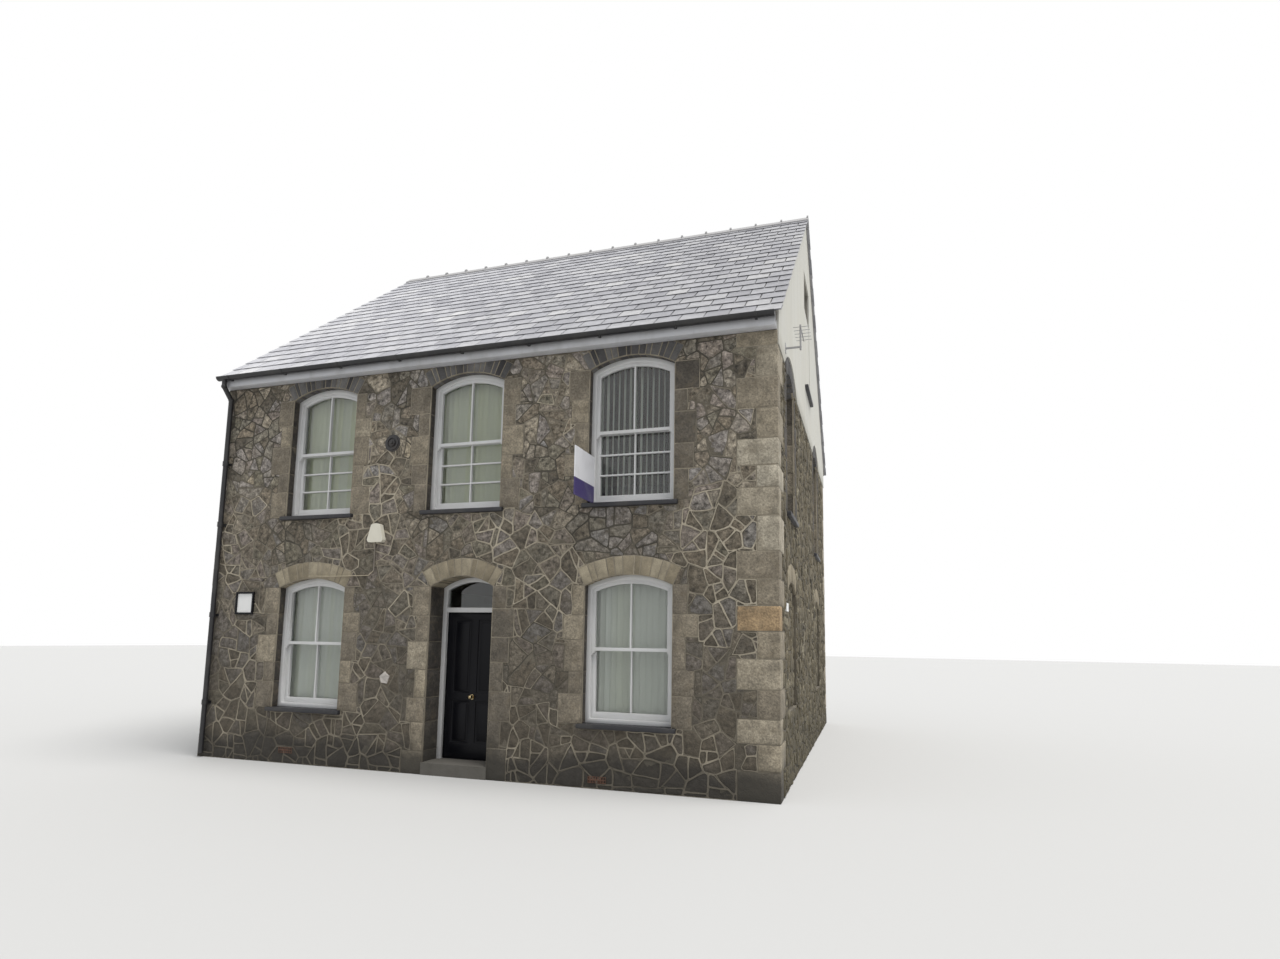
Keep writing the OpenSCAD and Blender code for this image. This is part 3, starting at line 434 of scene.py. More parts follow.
paintLooks = {
    "whiteGloss": {
        "colour": (0.615, 0.615, 0.612), "rough": 0.32, "dirt": 0.20, "dirtColour": (0.38, 0.36, 0.31),
        "streaks": 0.10, "bare": 0.12, "bareColour": (0.45, 0.42, 0.36), "bump": 0.0008, "coat": 0.15},
    "blackGloss": {
        "colour": (0.0040, 0.0042, 0.0062), "rough": 0.34, "dirt": 0.20, "dirtColour": (0.014, 0.014, 0.015),
        "streaks": 0.12, "bare": 0.10, "bareColour": (0.05, 0.045, 0.04), "bump": 0.0008, "gloss": 0.16},
    "eavesGrey": {
        "colour": (0.52, 0.525, 0.545), "rough": 0.55, "dirt": 0.45, "dirtColour": (0.27, 0.265, 0.25),
        "streaks": 0.45, "bare": 0.4, "bareColour": (0.30, 0.28, 0.25), "bump": 0.002, "streakWidth": 5.0,
        # Painted shadow of the gutter on the board's upper part
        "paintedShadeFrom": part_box("eaves_boards")[0].z + 0.060, "paintedShadeColour": (0.17, 0.168, 0.172)},
    "blackPipe": {
        "colour": (0.014, 0.014, 0.016), "rough": 0.38, "dirt": 0.55, "dirtColour": (0.065, 0.062, 0.056),
        "streaks": 0.35, "bare": 0.15, "bareColour": (0.12, 0.10, 0.09), "bump": 0.001},
    "castIron": {
        "colour": (0.022, 0.022, 0.024), "rough": 0.48, "dirt": 0.5, "dirtColour": (0.085, 0.065, 0.050),
        "streaks": 0.2, "bare": 0.6, "bareColour": (0.13, 0.07, 0.04), "bump": 0.003},
    "brownTimber": {
        "colour": (0.075, 0.042, 0.024), "rough": 0.55, "dirt": 0.5, "dirtColour": (0.14, 0.10, 0.07),
        "streaks": 0.4, "bare": 0.5, "bareColour": (0.20, 0.15, 0.10), "bump": 0.003},
    "creamShell": {
        "colour": (0.70, 0.67, 0.57), "rough": 0.42, "dirt": 0.25, "dirtColour": (0.42, 0.39, 0.31),
        "streaks": 0.25, "bump": 0.0008},
    "oldCable": {
        "colour": (0.46, 0.40, 0.29), "rough": 0.55, "dirt": 0.5, "dirtColour": (0.26, 0.22, 0.16),
        "streaks": 0.25, "bump": 0.0005},
    "oldConduit": {
        "colour": (0.20, 0.175, 0.145), "rough": 0.55, "dirt": 0.5, "dirtColour": (0.11, 0.095, 0.075),
        "streaks": 0.25, "bump": 0.0005},
    "whitePlate": {
        "colour": (0.78, 0.78, 0.77), "rough": 0.35, "dirt": 0.18, "dirtColour": (0.42, 0.41, 0.38),
        "streaks": 0.12, "bump": 0.0005},
    "slateSill": {
        "colour": (0.016, 0.016, 0.020), "rough": 0.50, "dirt": 0.55, "dirtColour": (0.080, 0.075, 0.066),
        "streaks": 0.3, "bare": 0.3, "bareColour": (0.17, 0.16, 0.15), "bump": 0.004, "brush": 28.0},
    "ridgeClay": {
        "colour": (0.330, 0.325, 0.330), "rough": 0.60, "dirt": 0.7, "dirtColour": (0.33, 0.325, 0.31),
        "streaks": 0.3, "bare": 0.6, "bareColour": (0.33, 0.33, 0.29), "bump": 0.004, "brush": 24.0},
    "roofBoards": {
        "colour": (0.120, 0.080, 0.050), "rough": 0.80, "dirt": 0.5, "dirtColour": (0.10, 0.065, 0.04),
        "streaks": 0.3, "bare": 0.2, "bareColour": (0.30, 0.22, 0.14), "bump": 0.004},
    "oldBoards": {
        "colour": (0.120, 0.105, 0.090), "rough": 0.85, "dirt": 0.5, "dirtColour": (0.060, 0.052, 0.045),
        "streaks": 0.3, "bare": 0.2, "bareColour": (0.18, 0.16, 0.14), "bump": 0.004},
    "concrete": {
        "colour": (0.235, 0.228, 0.210), "rough": 0.88, "dirt": 0.5, "dirtColour": (0.13, 0.12, 0.10),
        "streaks": 0.1, "bare": 0.4, "bareColour": (0.31, 0.30, 0.28), "bump": 0.004},
    "stepStone": {
        "colour": (0.115, 0.108, 0.094), "rough": 0.86, "dirt": 0.6, "dirtColour": (0.060, 0.056, 0.046),
        "streaks": 0.1, "bare": 0.4, "bareColour": (0.165, 0.158, 0.140), "bump": 0.004},
    "aerialMetal": {
        "colour": (0.36, 0.36, 0.37), "rough": 0.40, "dirt": 0.5, "dirtColour": (0.22, 0.20, 0.18),
        "streaks": 0.3, "bare": 0.3, "bareColour": (0.20, 0.13, 0.08), "bump": 0.0006},
    "partyPlaster": {
        "colour": (0.290, 0.275, 0.240), "rough": 0.93, "dirt": 0.7, "dirtColour": (0.165, 0.155, 0.130),
        "streaks": 0.4, "bare": 0.5, "bareColour": (0.20, 0.17, 0.13), "bump": 0.008, "brush": 26.0},
    "mortarPale": {
        "colour": (0.36, 0.345, 0.31), "rough": 0.93, "dirt": 0.6, "dirtColour": (0.20, 0.19, 0.165),
        "streaks": 0.2, "bare": 0.3, "bareColour": (0.46, 0.45, 0.42), "bump": 0.005},
}
paints = {name: paintMaterial(name, look) for name, look in paintLooks.items()}


# Smooth painted render, with soft vertical streaks and a dirty lower edge
renderFeel = {
    "colour": (0.570, 0.562, 0.515), "streak": (0.43, 0.415, 0.36), "streaks": 0.45,
    "cloud": (0.56, 0.54, 0.46), "clouds": 0.35, "cloudEdge": (0.42, 0.7),
    "foot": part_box("gable_render")[0].z, "footHigh": 0.22, "footColour": (0.25, 0.235, 0.19), "bump": 0.0025}


def renderMaterial():
    feel = renderFeel
    material, tree, shader = startMaterial("creamRender", rough=0.86)
    streak = useGroup(tree, rainStreaks, Width=6.0, Bite=0.50)["Mask"]
    colour = mixColours(tree, times(tree, streak, feel["streaks"]), feel["colour"], feel["streak"])
    vector = objectCoordinates(tree)
    cloud = mapRange(tree, noiseOf(tree, vector, 1.3, 5.0), *feel["cloudEdge"])
    colour = mixColours(tree, times(tree, cloud, feel["clouds"]), colour, feel["cloud"])
    low = mapRange(tree, axisOf(tree, vector, "Z"), feel["foot"], feel["foot"] + feel["footHigh"], 1.0, 0.0)
    low = times(tree, low, noiseOf(tree, vector, 9.0, 4.0))
    colour = mixColours(tree, low, colour, feel["footColour"])
    tree.links.new(colour, shader.inputs["Base Color"])
    bumpFrom(tree, shader, noiseOf(tree, vector, 120.0, 5.0, 0.6), feel["bump"])
    return material


# Glass with a slight ripple
def glassMaterial():
    material, tree, shader = startMaterial(
        "clearPane", (0.93, 0.96, 0.95), 0.02, Transmission_Weight=1.0, IOR=1.5)
    vector = objectCoordinates(tree)
    bumpFrom(tree, shader, noiseOf(tree, vector, 2.2, 2.0), 0.0012)
    return material


# Woven blind strips
def blindMaterial():
    material, tree, shader = startMaterial("blindCloth", rough=0.85, Sheen_Weight=0.2)
    colour = rampOf(tree, toneOf(tree), [
        (0.0, (0.62, 0.645, 0.44)), (0.6, (0.65, 0.67, 0.61)), (0.75, (0.67, 0.69, 0.63)),
        (1.0, (0.86, 0.88, 0.80))])
    threads = noiseOf(tree, objectCoordinates(tree, (260, 260, 700)), 1.0, 2.0)
    colour = shaded(tree, colour, mapRange(tree, threads, 0.3, 0.7, 0.88, 1.06))
    tree.links.new(colour, shader.inputs["Base Color"])
    bumpFrom(tree, shader, threads, 0.0006)
    return material


# Metal, worn and dull in places
metalLooks = {
    "wornBrass": {
        "start": (0.56, 0.45, 0.24), "startRough": 0.3, "scale": 60.0, "edge": (0.42, 0.68),
        "bright": (0.60, 0.50, 0.30), "dull": (0.24, 0.17, 0.09), "rough": (0.22, 0.5)},
    "dullSteel": {
        "start": (0.33, 0.32, 0.31), "startRough": 0.45, "scale": 90.0, "edge": (0.45, 0.7),
        "bright": (0.38, 0.37, 0.36), "dull": (0.16, 0.11, 0.08), "rough": (0.35, 0.7)},
}


def metalMaterial(name, look):
    material, tree, shader = startMaterial(name, look["start"], look["startRough"], Metallic=1.0)
    wear = mapRange(tree, noiseOf(tree, objectCoordinates(tree), look["scale"], 4.0), *look["edge"])
    tree.links.new(mixColours(tree, wear, look["bright"], look["dull"]), shader.inputs["Base Color"])
    tree.links.new(mapRange(tree, wear, 0.0, 1.0, *look["rough"]), shader.inputs["Roughness"])
    return material


# Red clay, mottled
def clayMaterial():
    material, tree, shader = startMaterial("redClay", rough=0.85)
    vector = objectCoordinates(tree)
    mottle = noiseOf(tree, vector, 22.0, 5.0, 0.6)
    colour = rampOf(tree, mottle, [
        (0.3, (0.060, 0.036, 0.026)), (0.55, (0.135, 0.066, 0.043)), (0.75, (0.180, 0.120, 0.088))])
    tree.links.new(colour, shader.inputs["Base Color"])
    bumpFrom(tree, shader, mottle, 0.003)
    return material


# A blank board: pale above, with a plain coloured band below
def boardMaterial():
    low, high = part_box("agent_board")
    look = {"pale": (0.76, 0.76, 0.79), "band": (0.052, 0.036, 0.145), "share": 0.36}
    material, tree, shader = startMaterial("boardFace", rough=0.38)
    vector = objectCoordinates(tree)
    height = axisOf(tree, vector, "Z")
    edge = low.z + (high.z - low.z) * look["share"]
    above = mapRange(tree, height, edge - 0.001, edge + 0.001)
    colour = mixColours(tree, above, look["band"], look["pale"])
    dust = mapRange(tree, noiseOf(tree, vector, 5.0, 5.0), 0.5, 0.8, 0.0, 0.25)
    tree.links.new(mixColours(tree, dust, colour, (0.40, 0.39, 0.37)), shader.inputs["Base Color"])
    bumpFrom(tree, shader, noiseOf(tree, objectCoordinates(tree, (1, 1, 60)), 9.0, 2.0), 0.0006)
    return material


slateFace = slateMaterial()
creamRender = renderMaterial()
clearPane = glassMaterial()
blindCloth = blindMaterial()
wornBrass, dullSteel = (metalMaterial(name, look) for name, look in metalLooks.items())
redClay = clayMaterial()
boardFace = boardMaterial()
print("materials made")


def finishOf(piece, material):
    piece.data.materials.clear()
    piece.data.materials.append(material)


# The frame's nodes by their finish
nodesByFinish = [
    (stones["joints"], "front_wall_left front_wall_right front_wall_upper side_wall back_wall"),
    (stones["joints"], "blocked_windows"),
    (stones["dressed"], "quoins jamb_stones back_lintels"),
    (stones["archBuff"], "arches_lower"), (stones["archDark"], "arches_upper"),
    (paints["partyPlaster"], "gable_wall party_wall wall_heads"), (creamRender, "gable_render attic_panel"),
    (paints["concrete"], "ground_floor"), (paints["roofBoards"], "upper_floors"),
    (paints["slateSill"], "window_sills"), (paints["stepStone"], "door_step"),
    (paints["whiteGloss"], "window_frames top_sashes bottom_sashes door_frame"),
    (paints["blackGloss"], "door_leaf notice_frame"), (paints["brownTimber"], "attic_frame"),
    (clearPane, "window_glass"), (blindCloth, "window_blinds"),
    (dullSteel, "hinge_pins door_hinges"), (wornBrass, "door_knob"),
    (paints["oldBoards"], "roof_deck_front roof_deck_back"), (slateFace, "slates_front slates_back"),
    (paints["ridgeClay"], "ridge_tiles"), (paints["eavesGrey"], "eaves_boards"),
    (paints["blackPipe"], "gutters downpipes"), (paints["castIron"], "tie_plate"),
    (paints["creamShell"], "alarm_box"), (paints["whitePlate"], "notice_plates"),
    (boardFace, "agent_board"), (paints["aerialMetal"], "gable_aerial"),
]
finishes = {nodeName: material for material, names in nodesByFinish for nodeName in names.split()}
for nodeName, material in finishes.items():
    finishOf(nodes[nodeName], material)
print("finishes on the frame's nodes")


def addObject(name, data):
    piece = bpy.data.objects.new(name, data)
    bpy.context.scene.collection.objects.link(piece)
    return piece


# Meshes made from lists of points and faces
def meshPiece(name, points, faces, tones, material, slot, body="building", smoothAngle=None):
    mesh = bpy.data.meshes.new(name)
    mesh.from_pydata(points, [], faces)
    layer = mesh.attributes.new("tone", "FLOAT", "FACE")
    layer.data.foreach_set("value", tones)
    mesh.materials.append(material)
    mesh.update()
    piece = addObject(name, mesh)
    if smoothAngle is not None:
        selectOnly(piece)
        bpy.ops.object.shade_smooth_by_angle(angle=math.radians(smoothAngle))
    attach(piece, body)
    return piece


def selectOnly(piece):
    bpy.ops.object.select_all(action="DESELECT")
    piece.select_set(True)
    bpy.context.view_layer.objects.active = piece


def startEditing():
    bpy.ops.object.mode_set(mode="EDIT")
    bpy.ops.mesh.select_all(action="SELECT")


cornerSteps = 5000  # to a metre: corners in one step count as the same


# The separate solids of a node, as lists of points
def solidsOf(nodeName):
    mesh = nodes[nodeName].data
    spots, parent = {}, []
    keys = []
    for vertex in mesh.vertices:
        key = tuple(round(c * cornerSteps) for c in vertex.co)
        if key not in spots:
            spots[key] = len(parent)
            parent.append(len(parent))
        keys.append(spots[key])

    def rootOf(i):
        while parent[i] != i:
            parent[i] = parent[parent[i]]
            i = parent[i]
        return i

    for face in mesh.polygons:
        first = rootOf(keys[face.vertices[0]])
        for other in face.vertices[1:]:
            parent[rootOf(keys[other])] = first
    solids = {}
    for vertex in mesh.vertices:
        solids.setdefault(rootOf(keys[vertex.index]), []).append(vertex.co.copy())
    return list(solids.values())


# Flat shapes: convex outlines as lists of points, counter-clockwise
def hullOf(points):
    points = sorted(set((round(x, 5), round(y, 5)) for x, y in points))

    def half(ordered):
        chain = []
        for p in ordered:
            while len(chain) > 1 and turn(chain[-2], chain[-1], p) <= 0:
                chain.pop()
            chain.append(p)
        return chain[:-1]

    return half(points) + half(points[::-1])


def turn(a, b, c):
    return (b[0] - a[0]) * (c[1] - a[1]) - (b[1] - a[1]) * (c[0] - a[0])


def simplify(outline, allow):
    outline = list(outline)
    while len(outline) > 3:
        count = len(outline)
        worth = []
        for i in range(count):
            a, b, c = outline[i - 1], outline[i], outline[(i + 1) % count]
            worth.append(turn(a, b, c) / max(1e-9, math.dist(a, c)))
        least = min(range(count), key=lambda i: worth[i])
        if worth[least] > allow:
            break
        outline.pop(least)
    return outline


def areaOf(outline):
    return 0.5 * sum(
        outline[i - 1][0] * outline[i][1] - outline[i][0] * outline[i - 1][1]
        for i in range(len(outline)))


def middleOf(outline):
    area = areaOf(outline)
    x = y = 0.0
    for i, (x1, y1) in enumerate(outline):
        x0, y0 = outline[i - 1]
        cross = x0 * y1 - x1 * y0
        x += (x0 + x1) * cross
        y += (y0 + y1) * cross
    return x / (6 * area), y / (6 * area)


# Keeps the side of the line where nx * x + ny * y < limit
def clip(outline, nx, ny, limit):
    kept = []
    px, py = outline[-1]
    before = nx * px + ny * py - limit
    for x, y in outline:
        here = nx * x + ny * y - limit
        if (here < 0) != (before < 0):
            share = before / (before - here)
            kept.append((px + (x - px) * share, py + (y - py) * share))
        if here < 0:
            kept.append((x, y))
        px, py, before = x, y, here
    return kept


def edgesOf(outline):
    for i, (x1, y1) in enumerate(outline):
        x0, y0 = outline[i - 1]
        length = math.hypot(x1 - x0, y1 - y0)
        if length > 1e-6:
            nx, ny = (y1 - y0) / length, (x0 - x1) / length
            yield nx, ny, nx * x0 + ny * y0


def drawnIn(outline, inset):
    for nx, ny, limit in list(edgesOf(outline)):
        outline = clip(outline, nx, ny, limit - inset)
        if len(outline) < 3:
            return []
    return outline


# What is left of a stone's outline beside a shape that is let into the wall
def cutAway(outline, shape, gap, least):
    left, rest = [], outline
    lines = list(edgesOf(shape))
    while lines and len(rest) > 2:
        choices = []
        for nx, ny, limit in lines:
            part = clip(rest, -nx, -ny, -(limit + gap))
            choices.append((areaOf(part) if len(part) > 2 else 0.0, part, (nx, ny, limit)))
        area, part, line = max(choices, key=lambda choice: choice[0])
        if area > least:
            left.append(part)
        if area < 1e-7:
            break
        nx, ny, limit = line
        lines.remove(line)
        rest = clip(rest, nx, ny, limit + gap)
    return left


# Outlines, on one wall, of everything that is let into it or stands in its openings
letIn = {"proud": (0.0005, 0.2), "recessed": (-0.36, -0.02), "leastArea": 0.002, "simplify": 0.004}


def letInOutlines(wall, proudNodes, recessedNodes):
    shapes = []
    for nodeName in proudNodes + recessedNodes:
        low, high = letIn["proud" if nodeName in proudNodes else "recessed"]
        for solid in solidsOf(nodeName):
            flat = [toWall(wall, p) for p in solid]
            if not low < max(p[2] for p in flat) < high:
                continue
            if nodeName in proudNodes:
                flat = [p for p in flat if p[2] > low]
            outline = hullOf([(p[0], p[1]) for p in flat])
            if len(outline) > 2 and areaOf(outline) > letIn["leastArea"]:
                shapes.append(simplify(outline, letIn["simplify"]))
    return shapes


# How near the stones' places may be, and how far each stone looks for its neighbours
spread = {"close": 0.93, "margin": 0.3, "reach": 0.62, "neighbours": 26}


def nearby(grid, cell, cells):
    steps = range(-cells, cells + 1)
    return [site for i in steps for j in steps for site in grid.get((cell[0] + i, cell[1] + j), ())]


# Places for stones of mixed size over a rectangle, large ones first
def scatter(draw, left, right, low, high, sizes):
    sites, grid, pitch = [], {}, sizes[0][0] * 2
    for radius, density in sizes:
        tries = int((right - left) * (high - low) / (radius * radius) * density)
        for _ in range(tries):
            x, y = draw.uniform(left, right), draw.uniform(low, high)
            cell = (int(x // pitch), int(y // pitch))
            near = nearby(grid, cell, 1)
            if all(math.hypot(x - s[0], y - s[1]) > (radius + s[2]) * spread["close"] for s in near):
                site = (x, y, radius)
                sites.append(site)
                grid.setdefault(cell, []).append(site)
    return sites, grid, pitch


# The outline of each stone: nearer its own site than any other, by size
def stoneOutlines(draw, left, right, low, high, sizes, stretch):
    margin, reach = spread["margin"], spread["reach"]
    sites, grid, pitch = scatter(
        draw, left / stretch - margin, right / stretch + margin, low - margin, high + margin, sizes)
    outlines = []
    for x, y, radius in sites:
        outline = [
            (x - reach, y - reach), (x + reach, y - reach), (x + reach, y + reach), (x - reach, y + reach)]
        cell = (int(x // pitch), int(y // pitch))
        near = [s for s in nearby(grid, cell, 2) if s[:2] != (x, y)]
        near.sort(key=lambda s: math.hypot(s[0] - x, s[1] - y))
        for ox, oy, other in near[:spread["neighbours"]]:
            nx, ny = ox - x, oy - y
            limit = (ox * ox + oy * oy - x * x - y * y - other * other + radius * radius) / 2
            outline = clip(outline, nx, ny, limit)
            if len(outline) < 3:
                break
        if len(outline) > 2:
            outlines.append([(px * stretch, py) for px, py in outline])
    return outlines


# A large outline broken up by straight cuts across its length, into angular stones
breaking = {"tries": 5, "swing": 0.42, "levelSwing": 0.05, "offMiddle": 0.13}


def brokenUp(draw, outline, look):
    limit = draw.triangular(*look["stoneArea"])
    if areaOf(outline) < limit:
        return [outline]
    cx, cy = middleOf(outline)
    first, second = max(
        ((a, b) for a in outline for b in outline), key=lambda pair: math.dist(pair[0], pair[1]))
    longWay = math.atan2(second[1] - first[1], second[0] - first[0])
    span = math.dist(first, second)
    coursed = look["coursed"] + look["coursedLow"] * max(0.0, 1.0 - cy)
    for _ in range(breaking["tries"]):
        angle = longWay + draw.gauss(0, breaking["swing"])
        if draw.random() < coursed:
            angle = round(angle / (math.pi / 2)) * math.pi / 2 + draw.gauss(0, breaking["levelSwing"])
        nx, ny = math.cos(angle), math.sin(angle)
        off = draw.uniform(-breaking["offMiddle"], breaking["offMiddle"])
        through = nx * cx + ny * cy + off * span
        halves = [clip(outline, nx, ny, through), clip(outline, -nx, -ny, -through)]
        if all(len(half) > 2 and areaOf(half) > look["thin"] * roundOf(half) ** 2 for half in halves):
            return [part for half in halves for part in brokenUp(draw, half, look)]
    return [outline]


def roundOf(outline):
    return sum(math.dist(outline[i - 1], outline[i]) for i in range(len(outline)))


def withinLimits(outline, limits):
    for nx, ny, limit in limits:
        outline = clip(outline, nx, ny, limit)
        if len(outline) < 3:
            return []
    return outline


# Distance from a middle point to an outline in one direction
def reachTo(outline, cx, cy, angle):
    dx, dy = math.cos(angle), math.sin(angle)
    best = 1e9
    for nx, ny, limit in edgesOf(outline):
        facing = nx * dx + ny * dy
        if facing > 1e-9:
            best = min(best, (limit - nx * cx - ny * cy) / facing)
    return best


outlineFeel = {"mostOfSide": 0.34, "edgeFade": 0.03, "waveScale": 5.5}


def chamfered(outline, cut):
    points = []
    count = len(outline)
    for i, (x, y) in enumerate(outline):
        for ox, oy in (outline[i - 1], outline[(i + 1) % count]):
            length = math.hypot(ox - x, oy - y)
            share = min(outlineFeel["mostOfSide"], cut / max(length, 1e-6))
            points.append((x + (ox - x) * share, y + (oy - y) * share))
    return points


# A small smooth shift, the same for neighbours, that keeps within the wall's area
def waved(x, y, look):
    feel = outlineFeel
    left, right, low, high = look["area"]
    inside = min(x - left, right - x, y - low, high - y)
    bend = look["wave"] * max(0.0, min(1.0, inside / feel["edgeFade"]))
    shift = noise.noise_vector(Vector((x * feel["waveScale"], y * feel["waveScale"], look["seed"])))
    return x + shift.x * bend, y + shift.y * bend


def spanOf(outline):
    return (min(p[0] for p in outline), max(p[0] for p in outline),
            min(p[1] for p in outline), max(p[1] for p in outline))


# The stones' outlines, within the wall's limits and round the shapes that are let into it
def partsOf(draw, look, limits, shapes):
    gap, whole, parts = look["gap"], [], []
    left, right, low, high = look["area"]
    for outline in stoneOutlines(draw, left, right, low, high, look["sizes"], look["stretch"]):
        whole += brokenUp(draw, outline, look)
    placed = [(shape, spanOf(shape)) for shape in shapes]
    for outline in whole:
        outline = withinLimits(outline, limits)
        pieces = [outline] if len(outline) > 2 else []
        for shape, (left, right, low, high) in placed:
            cut = []
            for piece in pieces:
                x0, x1, y0, y1 = spanOf(piece)
                if x1 < left - gap or x0 > right + gap or y1 < low - gap or y0 > high + gap:
                    cut.append(piece)
                else:
                    cut += cutAway(piece, shape, gap, look["least"])
            pieces = cut
        parts += [piece for piece in pieces if areaOf(piece) > look["least"]]
    return parts


# What every stone and its pointing share
rubbleFeel = {
    "innerLeast": 0.4, "leastTurn": 0.05, "tone": 0.48, "palest": 0.93, "rimLowest": -0.001,
    "shoulderMost": 0.45, "crownGain": 1.15, "kept": 0.60, "keptVaries": 1.45, "keptBelow": 1.9,
    "ribbonLeast": 0.15, "ribbonBack": -0.002, "goneJointShadeTone": 0.02, "jointGain": 0.92, "jointVaries": 0.85,
    "smooth": 32}


# Directions from a stone's middle to its corners, with more of them along its long sides
def rimAngles(soft, part, cx, cy, look):
    corners = soft + (part if look["ribbon"] else [])
    for (x0, y0), (x1, y1) in zip(soft[-1:] + soft[:-1], soft):
        steps = int(math.dist((x0, y0), (x1, y1)) / look["stretchPoint"]) + 1
        corners += [(x0 + (x1 - x0) * k / steps, y0 + (y1 - y0) * k / steps) for k in range(1, steps)]
    angles = sorted(math.atan2(y - cy, x - cx) for x, y in corners)
    return [a for i, a in enumerate(angles) if i == 0 or a - angles[i - 1] > rubbleFeel["leastTurn"]]


# One stone: a sunk back, the rim, a raised shoulder and a crown
def addStone(stone, wall, rim, cx, cy, size, lie, draw, look):
    points, faces, tones = stone
    first, count = len(points), len(rim)
    back = look.get("level", 0.0)
    share = 1 - min(rubbleFeel["shoulderMost"], look["shoulder"] / size)
    lifts = [lie["rise"] + lie["tiltX"] * (x - cx) + lie["tiltY"] * (y - cy) for x, y in rim]
    points += [toWorld(wall, x, y, back - look["sunk"]) for x, y in rim]
    points += [toWorld(wall, x, y, back + max(rubbleFeel["rimLowest"], lift))
               for (x, y), lift in zip(rim, lifts)]
    for (x, y), lift in zip(rim, lifts):
        lift += lie["crown"] + draw.uniform(-1, 1) * look["rough"]
        points.append(toWorld(wall, cx + (x - cx) * share, cy + (y - cy) * share, back + lift))
    top = back + lie["rise"] + lie["crown"] * rubbleFeel["crownGain"]
    points.append(toWorld(wall, cx, cy, top + draw.uniform(-1, 1) * look["rough"]))
    rings = [first, first + count, first + 2 * count]
    for i in range(count):
        j = (i + 1) % count
        for lower, upper in zip(rings, rings[1:]):
            faces.append((lower + i, lower + j, upper + j, upper + i))
        faces.append((rings[2] + i, rings[2] + j, first + 3 * count))
    faces.append(tuple(first + i for i in reversed(range(count))))
    tones += [lie["tone"]] * (3 * count + 1)


# How much of the raised pointing is left at a place, from 0 to 1: wide and small patches are gone
def pointingLeft(cx, cy, look):
    feel = rubbleFeel
    wide = noise.noise(Vector((cx * 0.8 + 7, cy * 0.9, 3.3)))
    near = noise.noise(Vector((cx * 4, cy * 4, 1)))
    lost = 0.8 * wide + 0.6 * near
    kept = feel["kept"] + feel["keptVaries"] * lost + look["keepLow"] * (feel["keptBelow"] - cy)
    return max(0.0, min(1.0, kept))


def addRibbon(joint, wall, rim, outer, kept, draw, look):
    points, faces, tones = joint
    feel = rubbleFeel
    first, count = len(points), len(rim)
    height = look["ribbonHeight"] * (feel["ribbonLeast"] + (1 - feel["ribbonLeast"]) * kept)
    back = feel["ribbonBack"]
    for ring, level in ((outer, height), (rim, height), (rim, back), (outer, back)):
        points += [toWorld(wall, x, y, level) for x, y in ring]
    for ring in range(4):
        start, end = first + ring * count, first + ((ring + 1) % 4) * count
        for i in range(count):
            j = (i + 1) % count
            faces.append((start + i, start + j, end + j, end + i))
            # Where the pointing is gone the tone sinks towards the darkest: painted shadow in the deep joint
            tone = feel["goneJointShadeTone"] + feel["jointGain"] * kept * draw.uniform(feel["jointVaries"], 1.0)
            tones.append(tone)


# Rubble: one closed rough-faced solid a stone, and raised pointing round it where it is wanted
def layRubble(name, wall, look, limits, shapes):
    feel = rubbleFeel
    draw = random.Random(look["seed"])
    parts = partsOf(draw, look, limits, shapes)
    stone, joint = ([], [], []), ([], [], [])
    for part in parts:
        inner = drawnIn(part, look["joint"] / 2)
        if len(inner) < 3 or areaOf(inner) < look["least"] * feel["innerLeast"]:
            continue
        cx, cy = middleOf(inner)
        soft = chamfered(inner, look["corner"])
        angles = rimAngles(soft, part, cx, cy, look)
        lie = {
            "tone": min(feel["palest"], max(0.0, draw.gauss(feel["tone"], look["evenTone"]))),
            "tiltX": draw.uniform(-1, 1) * look["tilt"], "tiltY": draw.uniform(-1, 1) * look["tilt"],
            "rise": draw.uniform(*look["rise"]), "crown": draw.uniform(*look["crown"])}
        rim, outer = [], []
        for angle in angles:
            reach = reachTo(soft, cx, cy, angle) * draw.uniform(1 - look["wobble"], 1.0)
            rim.append(waved(cx + reach * math.cos(angle), cy + reach * math.sin(angle), look))
            if look["ribbon"]:
                reach = reachTo(part, cx, cy, angle)
                outer.append(waved(cx + reach * math.cos(angle), cy + reach * math.sin(angle), look))
        addStone(stone, wall, rim, cx, cy, math.sqrt(areaOf(inner)), lie, draw, look)
        if look["ribbon"]:
            addRibbon(joint, wall, rim, outer, pointingLeft(cx, cy, look), draw, look)
    print(name, len(parts), "stones")
    meshPiece(name, *stone, look["stone"], "rubble", smoothAngle=feel["smooth"])
    if look["ribbon"]:
        meshPiece(name + "_pointing", *joint, stones["pointing"], "rubble")


letInProud = [
    "quoins", "jamb_stones", "arches_lower", "arches_upper", "back_lintels", "window_sills", "door_step",
    "notice_plates"]
letInDeep = ["window_frames", "door_frame", "blocked_windows"]
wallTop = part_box("eaves_boards")[0].z
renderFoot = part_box("gable_render")[0].z

